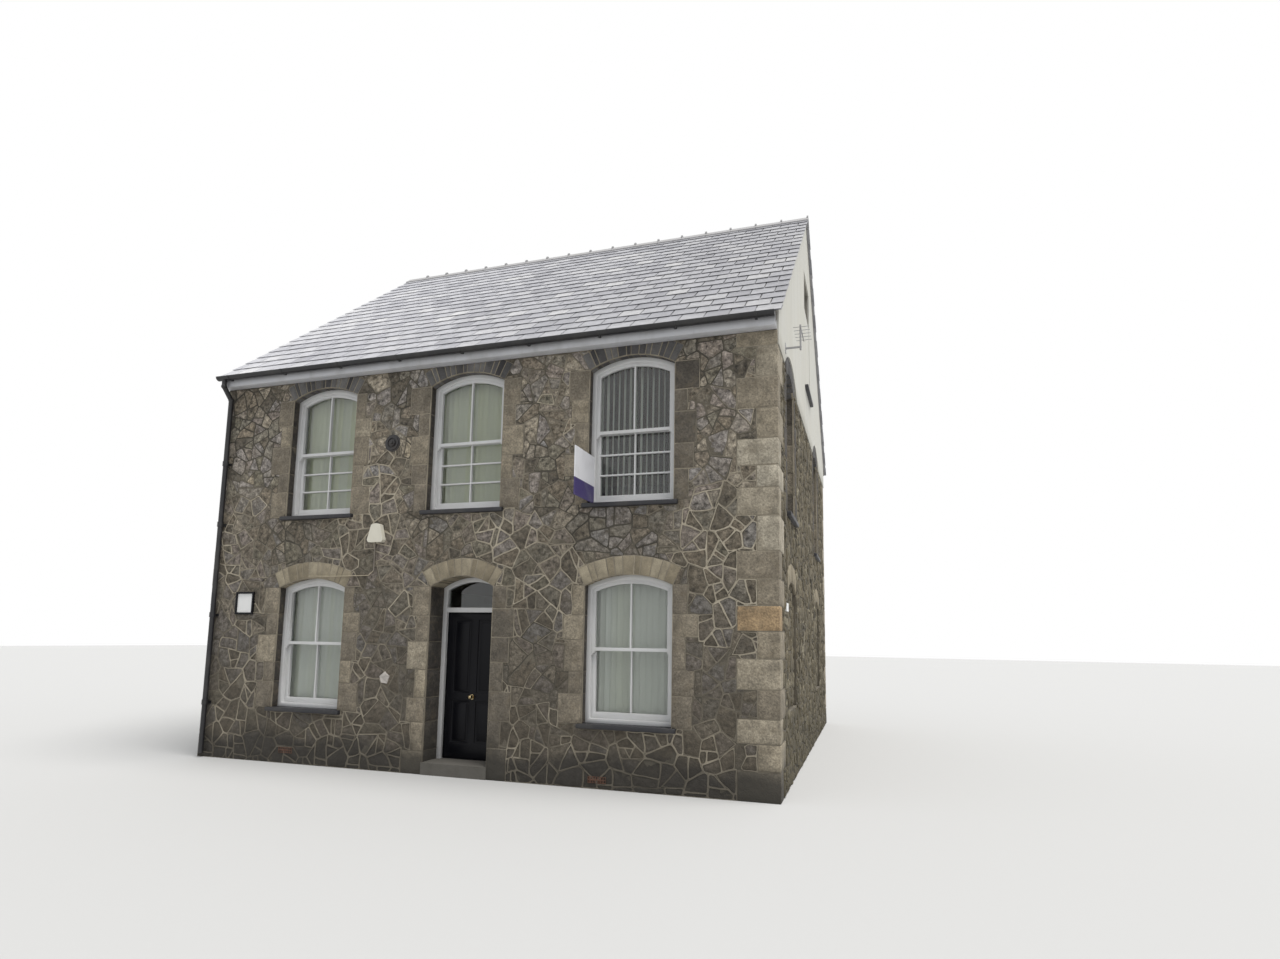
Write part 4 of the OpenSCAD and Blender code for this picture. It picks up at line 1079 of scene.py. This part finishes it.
# What the side and the back have in common
plainRubble = {
    "stretch": 1.45, "coursed": 0.62, "coursedLow": 0.2, "thin": 0.030, "gap": 0.006, "joint": 0.017,
    "corner": 0.020, "wobble": 0.05, "wave": 0.010, "ribbon": False, "evenTone": 0.24, "rough": 0.004,
    "shoulder": 0.034, "sunk": 0.004, "stone": stones["rubbleSide"]}
rubbleLooks = {
    "front": {
        "seed": 11, "area": (partyFace, sideFace, 0.0, wallTop), "stretch": 1.05,
        "sizes": [(0.27, 0.3), (0.20, 0.7), (0.14, 1.2), (0.09, 1.4)],
        "stoneArea": (0.012, 0.125, 0.030), "coursed": 0.14, "coursedLow": 0.6, "thin": 0.034,
        "least": 0.0022, "gap": 0.004, "stretchPoint": 0.070, "joint": 0.0128, "corner": 0.012,
        "wobble": 0.065, "wave": 0.018, "ribbon": True, "ribbonHeight": 0.0085, "keepLow": 0.10,
        "evenTone": 0.27, "tilt": 0.035, "rise": (0.0, 0.003), "crown": (0.001, 0.007), "rough": 0.0026,
        "shoulder": 0.026, "sunk": 0.004, "stone": stones["rubbleFront"]},
    "side": dict(
        plainRubble, seed=23, area=(frontFace, backFace, 0.0, renderFoot), stoneArea=(0.008, 0.075, 0.020),
        sizes=[(0.22, 0.4), (0.15, 0.9), (0.10, 1.4), (0.07, 1.4)], least=0.0024, stretchPoint=0.11,
        tilt=0.05, rise=(0.001, 0.007), crown=(0.003, 0.014)),
    "back": dict(
        plainRubble, seed=37, area=(-sideFace, -partyFace, 0.0, wallTop), stoneArea=(0.010, 0.085, 0.026),
        sizes=[(0.23, 0.4), (0.16, 0.9), (0.11, 1.4), (0.08, 1.4)], least=0.0026, stretchPoint=0.12,
        tilt=0.045, rise=(0.001, 0.006), crown=(0.003, 0.012)),
}


def boxLimits(area):
    left, right, low, high = area
    return [(-1, 0, -left), (1, 0, right), (0, -1, -low), (0, 1, high)]


for wall, look in rubbleLooks.items():
    shapes = letInOutlines(wall, letInProud, letInDeep)
    layRubble(wall + "_rubble", wall, look, boxLimits(look["area"]), shapes)


# The blocked windows are filled with the same rubble, a little behind the wall's face
blockedFill = {"seed": 61, "gap": 0.004}


def fillBlockedWindows():
    for number, solid in enumerate(solidsOf("blocked_windows")):
        flat = [toWall("side", p) for p in solid]
        outline = drawnIn(hullOf([(p[0], p[1]) for p in flat]), blockedFill["gap"])
        level = max(p[2] for p in flat)
        look = dict(rubbleLooks["side"], seed=blockedFill["seed"] + number, level=level, area=spanOf(outline))
        layRubble("blocked_rubble_%d" % number, "side", look, list(edgesOf(outline)), [])


fillBlockedWindows()


mortarBed = {"back": -0.02, "uneven": 0.0006, "leastCross": 0.05}


# An outline with every side moved outwards
def grownBy(outline, grow):
    grown = []
    lines = list(edgesOf(outline))
    for i, (nx, ny, limit) in enumerate(lines):
        mx, my, before = lines[i - 1]
        cross = mx * ny - my * nx
        if abs(cross) < mortarBed["leastCross"]:
            continue
        a, b = before + grow, limit + grow
        grown.append(((a * ny - b * my) / cross, (b * mx - a * nx) / cross))
    return grown


# Mortar between the dressed stones: each stone's outline a little larger, in a thin raised bed
def bedDressedStones(wall, nodeNames, look, limits):
    draw = random.Random(look["seed"])
    points, faces, tones = [], [], []
    for outline in letInOutlines(wall, nodeNames, []):
        grown = withinLimits(grownBy(outline, look["grow"]), limits)
        if len(grown) < 3:
            continue
        height = look["height"] + draw.uniform(-1, 1) * mortarBed["uneven"]
        first, count = len(points), len(grown)
        for level in (mortarBed["back"], height):
            points += [toWorld(wall, x, y, level) for x, y in grown]
        faces += [(first + i, first + (i + 1) % count, first + count + (i + 1) % count, first + count + i)
                  for i in range(count)]
        faces.append(tuple(first + count + i for i in range(count)))
        faces.append(tuple(first + i for i in reversed(range(count))))
        tones += [draw.uniform(*look["tone"])] * (count + 2)
    name = wall + "_" + nodeNames[0] + "_mortar"
    meshPiece(name, points, faces, tones, stones["pointing"], "dressed_stone")


beddings = {
    "pale": {"seed": 15, "grow": 0.0075, "height": 0.0025, "tone": (0.50, 0.72)},
    "dark": {"seed": 16, "grow": 0.0070, "height": 0.0025, "tone": (0.45, 0.70)},
}
beddedStones = [
    ("front", ["quoins", "jamb_stones", "arches_lower"], "pale"), ("front", ["arches_upper"], "dark"),
    ("side", ["quoins", "jamb_stones", "arches_lower"], "pale"), ("side", ["arches_upper"], "dark"),
    ("back", ["quoins"], "pale")]
for wall, nodeNames, bedding in beddedStones:
    bedDressedStones(wall, nodeNames, beddings[bedding], boxLimits(rubbleLooks[wall]["area"]))


# Dressed stones and painted joinery: copies of the frame's solids with softened edges
softening = {
    "weld": 0.00002, "flat": 1.0, "segments": 2, "bevelFrom": 30, "smooth": 32,
    "sideDepth": 0.02, "sideways": 0.9, "mostCuts": 4, "footHigh": 0.001}


# The faces of each separate solid
def islandsOf(shape):
    seen = set()
    for start in list(shape.faces):
        if start in seen:
            continue
        island, stack = [], [start]
        seen.add(start)
        while stack:
            face = stack.pop()
            island.append(face)
            for edge in face.edges:
                for other in edge.link_faces:
                    if other not in seen:
                        seen.add(other)
                        stack.append(other)
        yield island


# A tone for each stone, darkest on the faces inside the openings where the look asks for it (partly the
# stones' dark colour, partly painted shade in the recess), and a small shift
def toneIslands(shape, look, draw):
    layer = shape.faces.layers.float.new("tone")
    innerFrom = backFace - softening["sideDepth"]
    for island in islandsOf(shape):
        corners = {vertex for face in island for vertex in face.verts}
        centre = sum((vertex.co for vertex in corners), Vector()) / len(corners)
        tone = look["tone"](centre, draw) if "tone" in look else draw.random()
        for face in island:
            sideways = abs(face.normal.x) > softening["sideways"]
            inner = abs(face.calc_center_median().y) < innerFrom and sideways
            # Reveal faces deep in the opening get the darkest tone: partly painted shade
            face[layer] = 0.0 if inner and look.get("darkShadedReveals") else tone
        if "shift" in look:
            way = Vector((draw.uniform(-1, 1), draw.uniform(-1, 1), 0)) * look["shift"]
            for vertex in corners:
                vertex.co += way


# Long edges get more points, and all points a small smooth shift that leaves the foot on the ground
def roughen(shape, look):
    if "cell" in look:
        for cuts in range(1, softening["mostCuts"] + 1):
            edges = [edge for edge in shape.edges if int(edge.calc_length() / look["cell"]) == cuts]
            bmesh.ops.subdivide_edges(shape, edges=edges, cuts=cuts, use_grid_fill=True)
    for vertex in shape.verts:
        foot = vertex.co.z < softening["footHigh"]
        vertex.co += noise.noise_vector(vertex.co * look["knobs"]) * look["uneven"]
        if foot:
            vertex.co.z = 0.0


def softenEdges(piece, width):
    selectOnly(piece)
    bevel = piece.modifiers.new("softEdge", "BEVEL")
    bevel.width = width
    bevel.segments = softening["segments"]
    bevel.limit_method = "ANGLE"
    bevel.angle_limit = math.radians(softening["bevelFrom"])
    bevel.use_clamp_overlap = True
    bpy.ops.object.modifier_apply(modifier=bevel.name)
    bpy.ops.object.shade_smooth_by_angle(angle=math.radians(softening["smooth"]))


def dressNode(nodeName, pieceName, look):
    source = nodes[nodeName]
    draw = random.Random(look["seed"])
    shape = bmesh.new()
    shape.from_mesh(source.data)
    bmesh.ops.remove_doubles(shape, verts=shape.verts, dist=softening["weld"])
    bmesh.ops.dissolve_limit(
        shape, angle_limit=math.radians(softening["flat"]), verts=shape.verts, edges=shape.edges)
    toneIslands(shape, look, draw)
    if "uneven" in look:
        roughen(shape, look)
    mesh = bpy.data.meshes.new(pieceName)
    shape.to_mesh(mesh)
    shape.free()
    mesh.materials.append(finishes[nodeName])
    piece = addObject(pieceName, mesh)
    softenEdges(piece, look["bevel"])
    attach(piece, source["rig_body"])
    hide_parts(nodeName)
    return piece


# Heights on the front corner: its dark foot, one orange stone and the pale stones higher up
quoinBands = {"foot": 0.45, "beside": (1.75, 2.20), "orange": (1.85, 2.10), "pale": (2.8, 4.1)}


def within(value, band):
    return band[0] < value < band[1]


def quoinTone(centre, draw):
    bands = quoinBands
    if centre.z < bands["foot"] and centre.y < 0:
        return draw.uniform(0.06, 0.14)
    if within(centre.z, bands["beside"]) and centre.y < 0:
        return 1.0 if within(centre.z, bands["orange"]) else draw.uniform(0.35, 0.6)
    if within(centre.z, bands["pale"]):
        return draw.uniform(0.68, 0.88)
    return draw.uniform(0.25, 0.72)


# Dark stones on the front: right of the right upper window, and right of the doorway
jambBands = {"upperFrom": 3.3, "rightFrom": 2.6, "lowerTo": 2.8, "byDoor": (0.4, 1.1)}


def jambTone(centre, draw):
    bands = jambBands
    if centre.z > bands["upperFrom"] and centre.x > bands["rightFrom"] and centre.y < 0:
        return draw.choice((0.03, 0.05, 0.08, 0.34))
    if centre.z < bands["lowerTo"] and within(centre.x, bands["byDoor"]) and centre.y < 0:
        return draw.uniform(0.02, 0.11)
    return draw.choice((draw.uniform(0.10, 0.36), draw.uniform(0.14, 0.42), draw.uniform(0.35, 0.66)))


dressings = {
    "quoins": {"bevel": 0.009, "seed": 3, "tone": quoinTone, "shift": 0.0015, "uneven": 0.0045, "knobs": 9.0,
               "cell": 0.09},
    "jamb_stones": {"bevel": 0.008, "seed": 8, "tone": jambTone, "shift": 0.001, "uneven": 0.0045,
                    "knobs": 11.0, "cell": 0.09, "darkShadedReveals": True},
    "arches_lower": {"bevel": 0.007, "seed": 4, "uneven": 0.003, "knobs": 14.0},
    "arches_upper": {"bevel": 0.006, "seed": 6, "uneven": 0.004, "knobs": 14.0},
    "back_lintels": {"bevel": 0.009, "seed": 7, "tone": jambTone, "uneven": 0.005, "knobs": 9.0,
                     "cell": 0.12},
    "window_sills": {"bevel": 0.005, "seed": 9},
    "window_frames": {"bevel": 0.002, "seed": 1},
    "top_sashes": {"bevel": 0.002, "seed": 1},
    "bottom_sashes": {"bevel": 0.002, "seed": 1},
    "door_frame": {"bevel": 0.002, "seed": 1},
    "door_leaf": {"bevel": 0.003, "seed": 1},
    "eaves_boards": {"bevel": 0.003, "seed": 1},
}
for nodeName, look in dressings.items():
    dressNode(nodeName, nodeName + "_dressed", look)
print("dressed stones and joinery")


# Single slates in courses, each with its own tone and a ragged tail
slateLook = {
    "pitch": 40.2, "courses": 21, "bed": 0.028, "step": 0.012, "thick": 0.0065, "width": 0.305,
    "cover": 1.35, "gap": 0.013, "tail": 0.006, "seed": 51, "lift": 0.0016, "tailWander": 0.012,
    "sideWander": 0.001, "leastWidth": 0.03, "tone": 0.50, "toneSpread": 0.21, "starterCover": 0.8,
    "starterDrop": 1.5}


def laySlates(name, side):
    low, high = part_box("slates_front" if side < 0 else "slates_back")
    look = slateLook
    draw = random.Random(look["seed"] + side)
    pitch = math.radians(look["pitch"])
    outer = low.y if side < 0 else -high.y
    reach = -outer - look["bed"] * math.sin(pitch)
    foot = low.z
    run = reach / math.cos(pitch)
    course = run / look["courses"]

    def place(x, up, lift):
        y = -reach + up * math.cos(pitch) - lift * math.sin(pitch)
        return Vector((x, -side * y, foot + up * math.sin(pitch) + lift * math.cos(pitch)))

    points, faces, tones = [], [], []

    def slate(x0, x1, tail, head, drop, tone):
        slope = -look["step"] / course
        ragged = [draw.uniform(0, 1) * look["tail"] for _ in range(4)]
        lifts = [draw.uniform(0, look["lift"]), draw.uniform(0, look["lift"])]
        first = len(points)
        tailTop = look["bed"] - drop
        for under in (0, 1):
            for i in range(4):
                share = i / 3
                x = x0 + (x1 - x0) * share
                lift = tailTop + lifts[0] * (1 - share) + lifts[1] * share - under * look["thick"]
                points.append(place(x, tail + ragged[i], lift))
            for x in (x1, x0):
                points.append(place(x, head, tailTop + slope * (head - tail) - under * look["thick"]))
        top = [first + i for i in range(6)]
        base = [first + 6 + i for i in range(6)]
        made = [tuple(top), tuple(reversed(base))]
        made += [(top[i], base[i], base[(i + 1) % 6], top[(i + 1) % 6]) for i in range(6)]
        if side > 0:
            made = [tuple(reversed(face)) for face in made]
        faces.extend(made)
        tones.extend([tone] * len(made))

    columns = round((high.x - low.x) / look["width"])
    width = (high.x - low.x) / columns
    for row in range(-1, look["courses"]):
        starter = row < 0
        edges = [low.x + width * (i + (0.5 if row % 2 else 0.0)) for i in range(-1, columns + 1)]
        for left in edges:
            x0 = max(low.x, left + look["gap"] / 2 + draw.uniform(-1, 1) * look["sideWander"])
            x1 = min(high.x, left + width - look["gap"] / 2 + draw.uniform(-1, 1) * look["sideWander"])
            if x1 - x0 < look["leastWidth"]:
                continue
            tone = min(1.0, max(0.0, draw.gauss(look["tone"], look["toneSpread"])))
            tail = max(0, row) * course + draw.uniform(0, look["tailWander"])
            head = min(run, tail + course * look["starterCover" if starter else "cover"])
            slate(x0, x1, tail, head, look["thick"] * look["starterDrop"] if starter else 0.0, tone)
    piece = meshPiece(name, points, faces, tones, slateFace, "roof_slate")
    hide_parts("slates_front" if side < 0 else "slates_back")
    return place, run


placeFront, roofRun = laySlates("front_slates", -1)
placeBack, _ = laySlates("back_slates", 1)
print("slates laid")


# Pale mortar bedding under the slates at the gable
vergeLook = {
    "in": 0.03, "out": 0.030, "thick": 0.0075, "under": -0.004, "ragged": 0.004, "from": 0.01, "steps": 60,
    "seed": 71}


def bedVerge(name, place):
    look = vergeLook
    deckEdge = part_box("roof_deck_front")[1].x
    draw = random.Random(look["seed"])
    rings = []
    for i in range(look["steps"] + 1):
        up = look["from"] + (roofRun - 2 * look["from"]) * i / look["steps"]
        x0, x1 = deckEdge - look["in"], deckEdge + look["out"] + draw.uniform(-1, 1) * look["ragged"]
        rings.append([place(x0, up, 0.0), place(x1, up, look["under"]), place(x1, up, look["thick"]),
                      place(x0, up, look["thick"])])
    points = [p for ring in rings for p in ring]
    faces = [(0, 1, 2, 3), tuple(4 * look["steps"] + i for i in (3, 2, 1, 0))]
    for i in range(look["steps"]):
        for k in range(4):
            a, b = 4 * i + k, 4 * i + (k + 1) % 4
            faces.append((b, a, a + 4, b + 4))
    piece = meshPiece(name, points, faces, [0.5] * len(faces), paints["mortarPale"], "render")
    selectOnly(piece)
    startEditing()
    bpy.ops.mesh.normals_make_consistent(inside=False)
    bpy.ops.object.mode_set(mode="OBJECT")


bedVerge("front_verge_mortar", placeFront)
bedVerge("back_verge_mortar", placeBack)


# Blinds: a head rail and hanging strips in each sash window.
# The ground floor's are nearly shut, and the right upper window's stand open.
blindLook = {
    "strip": 0.089, "pitch": 0.076, "thick": 0.0008, "bow": 0.006, "seed": 91, "swing": 5, "toneSpread": 0.15,
    "railHigh": 0.036, "railHalf": 0.02, "railTone": 0.95, "hang": 0.04, "endGap": 0.04,
    "upperFrom": 2.5, "openFrom": 1.5,
    "lower": {"angle": 26, "tone": 0.60}, "upper": {"angle": 36, "tone": 0.15},
    "opened": {"angle": 94, "tone": 0.97}}


def addRail(mesh, centre, along, across, halfLong, low, high):
    points, faces, tones = mesh
    first = len(points)
    for z in (low, high):
        for a, b in ((-1, -1), (1, -1), (1, 1), (-1, 1)):
            flat = centre + along * (a * halfLong) + across * (b * blindLook["railHalf"])
            points.append(Vector((flat.x, flat.y, z)))
    made = [(3, 2, 1, 0), (4, 5, 6, 7), (0, 1, 5, 4), (1, 2, 6, 5), (2, 3, 7, 6), (3, 0, 4, 7)]
    faces += [tuple(first + i for i in face) for face in made]
    tones += [blindLook["railTone"]] * len(made)


# One strip, bowed across its width
def addStrip(mesh, middle, way, low, high, tone):
    points, faces, tones = mesh
    look, ring = blindLook, [0, 1, 2, 3, 7, 6, 5, 4]
    side = Vector((0, 0, 1)).cross(way)
    first = len(points)
    for z in (low, high):
        for face in (0, 1):
            for share in (-0.5, -0.17, 0.17, 0.5):
                bow = look["bow"] * (0.25 - share * share) * 4
                flat = middle + way * (share * look["strip"])
                flat += side * (bow + (look["thick"] if face else 0))
                points.append(Vector((flat.x, flat.y, z)))
    for a, b in zip(ring, ring[1:] + ring[:1]):
        faces.append((first + a, first + b, first + b + 8, first + a + 8))
    faces.append(tuple(first + a for a in reversed(ring)))
    faces.append(tuple(first + a + 8 for a in ring))
    tones += [tone] * 10


def hangBlinds():
    look = blindLook
    draw = random.Random(look["seed"])
    mesh = [], [], []
    for solid in solidsOf("window_blinds"):
        low = Vector(min(p[i] for p in solid) for i in range(3))
        high = Vector(max(p[i] for p in solid) for i in range(3))
        centre = (low + high) / 2
        lengthwise = high.x - low.x > high.y - low.y
        along = Vector((1, 0, 0)) if lengthwise else Vector((0, 1, 0))
        across = Vector((0, 0, 1)).cross(along)
        span = high.x - low.x if lengthwise else high.y - low.y
        upper = low.z > look["upperFrom"]
        opened = upper and centre.y < 0 and centre.x > look["openFrom"] and lengthwise
        kind = look["opened" if opened else ("upper" if upper else "lower")]
        angle = math.radians(kind["angle"])
        addRail(mesh, centre, along, across, span / 2, high.z - look["railHigh"], high.z)
        count = int((span - look["endGap"]) / look["pitch"])
        start = -look["pitch"] * (count - 1) / 2
        for i in range(count):
            middle = centre + along * (start + i * look["pitch"])
            swing = angle + math.radians(draw.uniform(-look["swing"], look["swing"]))
            way = along * math.cos(swing) + across * math.sin(swing)
            tone = kind["tone"] + draw.uniform(-look["toneSpread"], look["toneSpread"])
            addStrip(mesh, middle, way, low.z, high.z - look["hang"], min(1.0, max(0.0, tone)))
    piece = meshPiece("hanging_blinds", *mesh, blindCloth, "blind_cloth")
    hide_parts("window_blinds")
    return piece


hangBlinds()
print("blinds hung")


# Small things on the front: first the thin cable and the conduit to the alarm box
def tubePiece(name, route, radius, material):
    curve = bpy.data.curves.new(name, "CURVE")
    curve.dimensions = "3D"
    curve.bevel_depth = radius
    curve.bevel_resolution = 2
    curve.use_fill_caps = True
    spline = curve.splines.new("POLY")
    spline.points.add(len(route) - 1)
    for point, place in zip(spline.points, route):
        point.co = (*place, 1)
    selectOnly(addObject(name, curve))
    bpy.ops.object.convert(target="MESH")
    piece = bpy.context.object
    finishOf(piece, material)
    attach(piece, "building")
    return piece


wiring = {
    "radius": 0.0055, "off": 0.016, "cableZ": 2.545, "cableFrom": -2.37, "sagAt": -1.9, "sag": 0.006,
    "cableTo": -1.38, "conduitX": -1.30, "conduitFrom": 2.62, "bend": 0.01, "conduitOver": 0.02,
    "conduitRadius": 0.009}


def onFront(u, v):
    return toWorld("front", u, v, wiring["off"])


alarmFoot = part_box("alarm_box")[0].z
tubePiece("wall_cable", [
    onFront(wiring["cableFrom"], wiring["cableZ"]),
    onFront(wiring["sagAt"], wiring["cableZ"] - wiring["sag"]),
    onFront(wiring["cableTo"], wiring["cableZ"]),
    onFront(wiring["conduitX"], wiring["conduitFrom"] - wiring["bend"]),
    onFront(wiring["conduitX"], wiring["conduitFrom"])],
    wiring["radius"], paints["oldCable"])
tubePiece("alarm_conduit", [
    onFront(wiring["conduitX"], wiring["conduitFrom"] - wiring["conduitOver"]),
    onFront(wiring["conduitX"], alarmFoot)],
    wiring["conduitRadius"], paints["oldConduit"])


# A piece that was made flat is turned to face the street and set on the front wall
def standOnFront(piece, u, v, out):
    turned = Matrix.Rotation(math.radians(90), 4, "X")
    piece.data.transform(Matrix.Translation(toWorld("front", u, v, out)) @ turned)


# Terracotta air bricks near the ground, with rows of square holes
airBrick = {
    "width": 0.225, "height": 0.075, "columns": 7, "rows": 2, "rib": 0.005, "holeIn": 0.012, "wall": 0.004,
    "proud": 0.013}


def layAirBrick(name, u, v):
    look = airBrick
    bpy.ops.object.select_all(action="DESELECT")
    bpy.ops.mesh.primitive_grid_add(
        x_subdivisions=look["columns"], y_subdivisions=look["rows"], size=1, location=(0, 0, 0))
    piece = bpy.context.object
    piece.name = piece.data.name = name
    piece.scale = (look["width"], look["height"], 1)
    bpy.ops.object.transform_apply(location=True, rotation=True, scale=True)
    startEditing()
    bpy.ops.mesh.inset(thickness=look["rib"], use_individual=True)
    bpy.ops.mesh.extrude_region_move(TRANSFORM_OT_translate={"value": (0, 0, -look["holeIn"])})
    bpy.ops.object.mode_set(mode="OBJECT")
    solid = piece.modifiers.new("body", "SOLIDIFY")
    solid.thickness = look["wall"]
    bpy.ops.object.modifier_apply(modifier=solid.name)
    standOnFront(piece, u, v, look["proud"])
    finishOf(piece, redClay)
    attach(piece, "building")


layAirBrick("air_brick_right", 1.975, 0.105)
layAirBrick("air_brick_left", -2.56, 0.175)


# One pale quartz stone that stands out beside the doorway
quartz = {
    "u": -1.035, "v": 1.19, "corners": 5, "radius": 0.086, "proud": 0.014, "sunk": 0.012, "edge": 0.010,
    "ragged": 0.016, "knobs": 17.0}


def layQuartz():
    look = quartz
    bpy.ops.object.select_all(action="DESELECT")
    bpy.ops.mesh.primitive_circle_add(vertices=look["corners"], radius=look["radius"], fill_type="NGON")
    piece = bpy.context.object
    piece.name = piece.data.name = "pale_quartz_stone"
    startEditing()
    bpy.ops.mesh.extrude_region_move(TRANSFORM_OT_translate={"value": (0, 0, look["proud"] + look["sunk"])})
    bpy.ops.mesh.bevel(offset=look["edge"], segments=2, affect="EDGES")
    bpy.ops.mesh.select_all(action="SELECT")
    bpy.ops.mesh.normals_make_consistent(inside=False)
    bpy.ops.object.mode_set(mode="OBJECT")
    for vertex in piece.data.vertices:
        vertex.co += noise.noise_vector(vertex.co * look["knobs"]) * look["ragged"]
    standOnFront(piece, look["u"], look["v"], -look["sunk"])
    finishOf(piece, stones["quartz"])
    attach(piece, "building")


layQuartz()
print("small fittings made")


# Floor, light and camera.
# The sky lights the scene softly, and what the camera, mirrors and glass see of it is plain white.
stageLook = {
    "size": 160, "floor": (0.50, 0.50, 0.495), "floorRough": 0.9, "sky": (0.93, 0.96, 1.0, 1),
    "skyStrength": 0.62, "sun": 3.4, "sunWidth": 36, "sunColour": (1.0, 0.98, 0.95),
    "sunFrom": (0.34, -0.12, 0.93)}


def makeStage():
    bpy.ops.object.select_all(action="DESELECT")
    bpy.ops.mesh.primitive_plane_add(size=stageLook["size"], location=(0, 0, 0))
    floor = bpy.context.object
    floor.name = "floor"
    finishOf(floor, startMaterial("floorPale", stageLook["floor"], stageLook["floorRough"])[0])


def makeLight():
    look = stageLook
    world = bpy.data.worlds.new("paleSky")
    bpy.context.scene.world = world
    world.use_nodes = True
    tree = world.node_tree
    tree.nodes.clear()
    path = addNode(tree, "ShaderNodeLightPath").outputs
    seen = calculate(tree, "MAXIMUM", path["Is Camera Ray"], path["Is Glossy Ray"])
    seen = calculate(tree, "MAXIMUM", seen, path["Is Transmission Ray"])
    lighting = addNode(
        tree, "ShaderNodeBackground", {"Color": look["sky"], "Strength": look["skyStrength"]})
    backdrop = addNode(tree, "ShaderNodeBackground", {"Color": (1, 1, 1, 1), "Strength": 1.0})
    mix = addNode(tree, "ShaderNodeMixShader", {0: seen})
    tree.links.new(lighting.outputs[0], mix.inputs[1])
    tree.links.new(backdrop.outputs[0], mix.inputs[2])
    output = addNode(tree, "ShaderNodeOutputWorld")
    tree.links.new(mix.outputs[0], output.inputs["Surface"])
    sun = bpy.data.lights.new("softSun", "SUN")
    sun.energy = look["sun"]
    sun.angle = math.radians(look["sunWidth"])
    sun.color = look["sunColour"]
    lamp = addObject("softSun", sun)
    lamp.rotation_euler = Vector(look["sunFrom"]).to_track_quat("Z", "Y").to_euler()


cameraLook = {
    "focal": 722.46, "place": (5.0696, -12.3534, 1.7520), "yaw": 0.3091, "pitch": 0.1228, "roll": 0.0159,
    "rise": 0.0548, "imageWidth": 1280, "sensor": 36.0, "far": 300}


def makeCamera():
    look = cameraLook
    yaw, pitch, roll = look["yaw"], look["pitch"], look["roll"]
    ahead = Vector((-math.sin(yaw) * math.cos(pitch), math.cos(yaw) * math.cos(pitch), math.sin(pitch)))
    right = Vector((math.cos(yaw), math.sin(yaw), 0))
    up = right.cross(ahead)
    rolledRight = right * math.cos(roll) + up * math.sin(roll)
    rolledUp = up * math.cos(roll) - right * math.sin(roll)
    camera = addObject("camera", bpy.data.cameras.new("camera"))
    turned = Matrix((rolledRight, rolledUp, -ahead)).transposed().to_4x4()
    camera.matrix_world = Matrix.Translation(look["place"]) @ turned
    camera.data.sensor_width = look["sensor"]
    camera.data.lens = look["sensor"] * look["focal"] / look["imageWidth"]
    camera.data.shift_y = look["rise"]
    camera.data.clip_end = look["far"]
    bpy.context.scene.camera = camera


makeStage()
makeLight()
makeCamera()
bpy.context.scene.view_settings.view_transform = "Standard"
print("stage, light and camera ready")
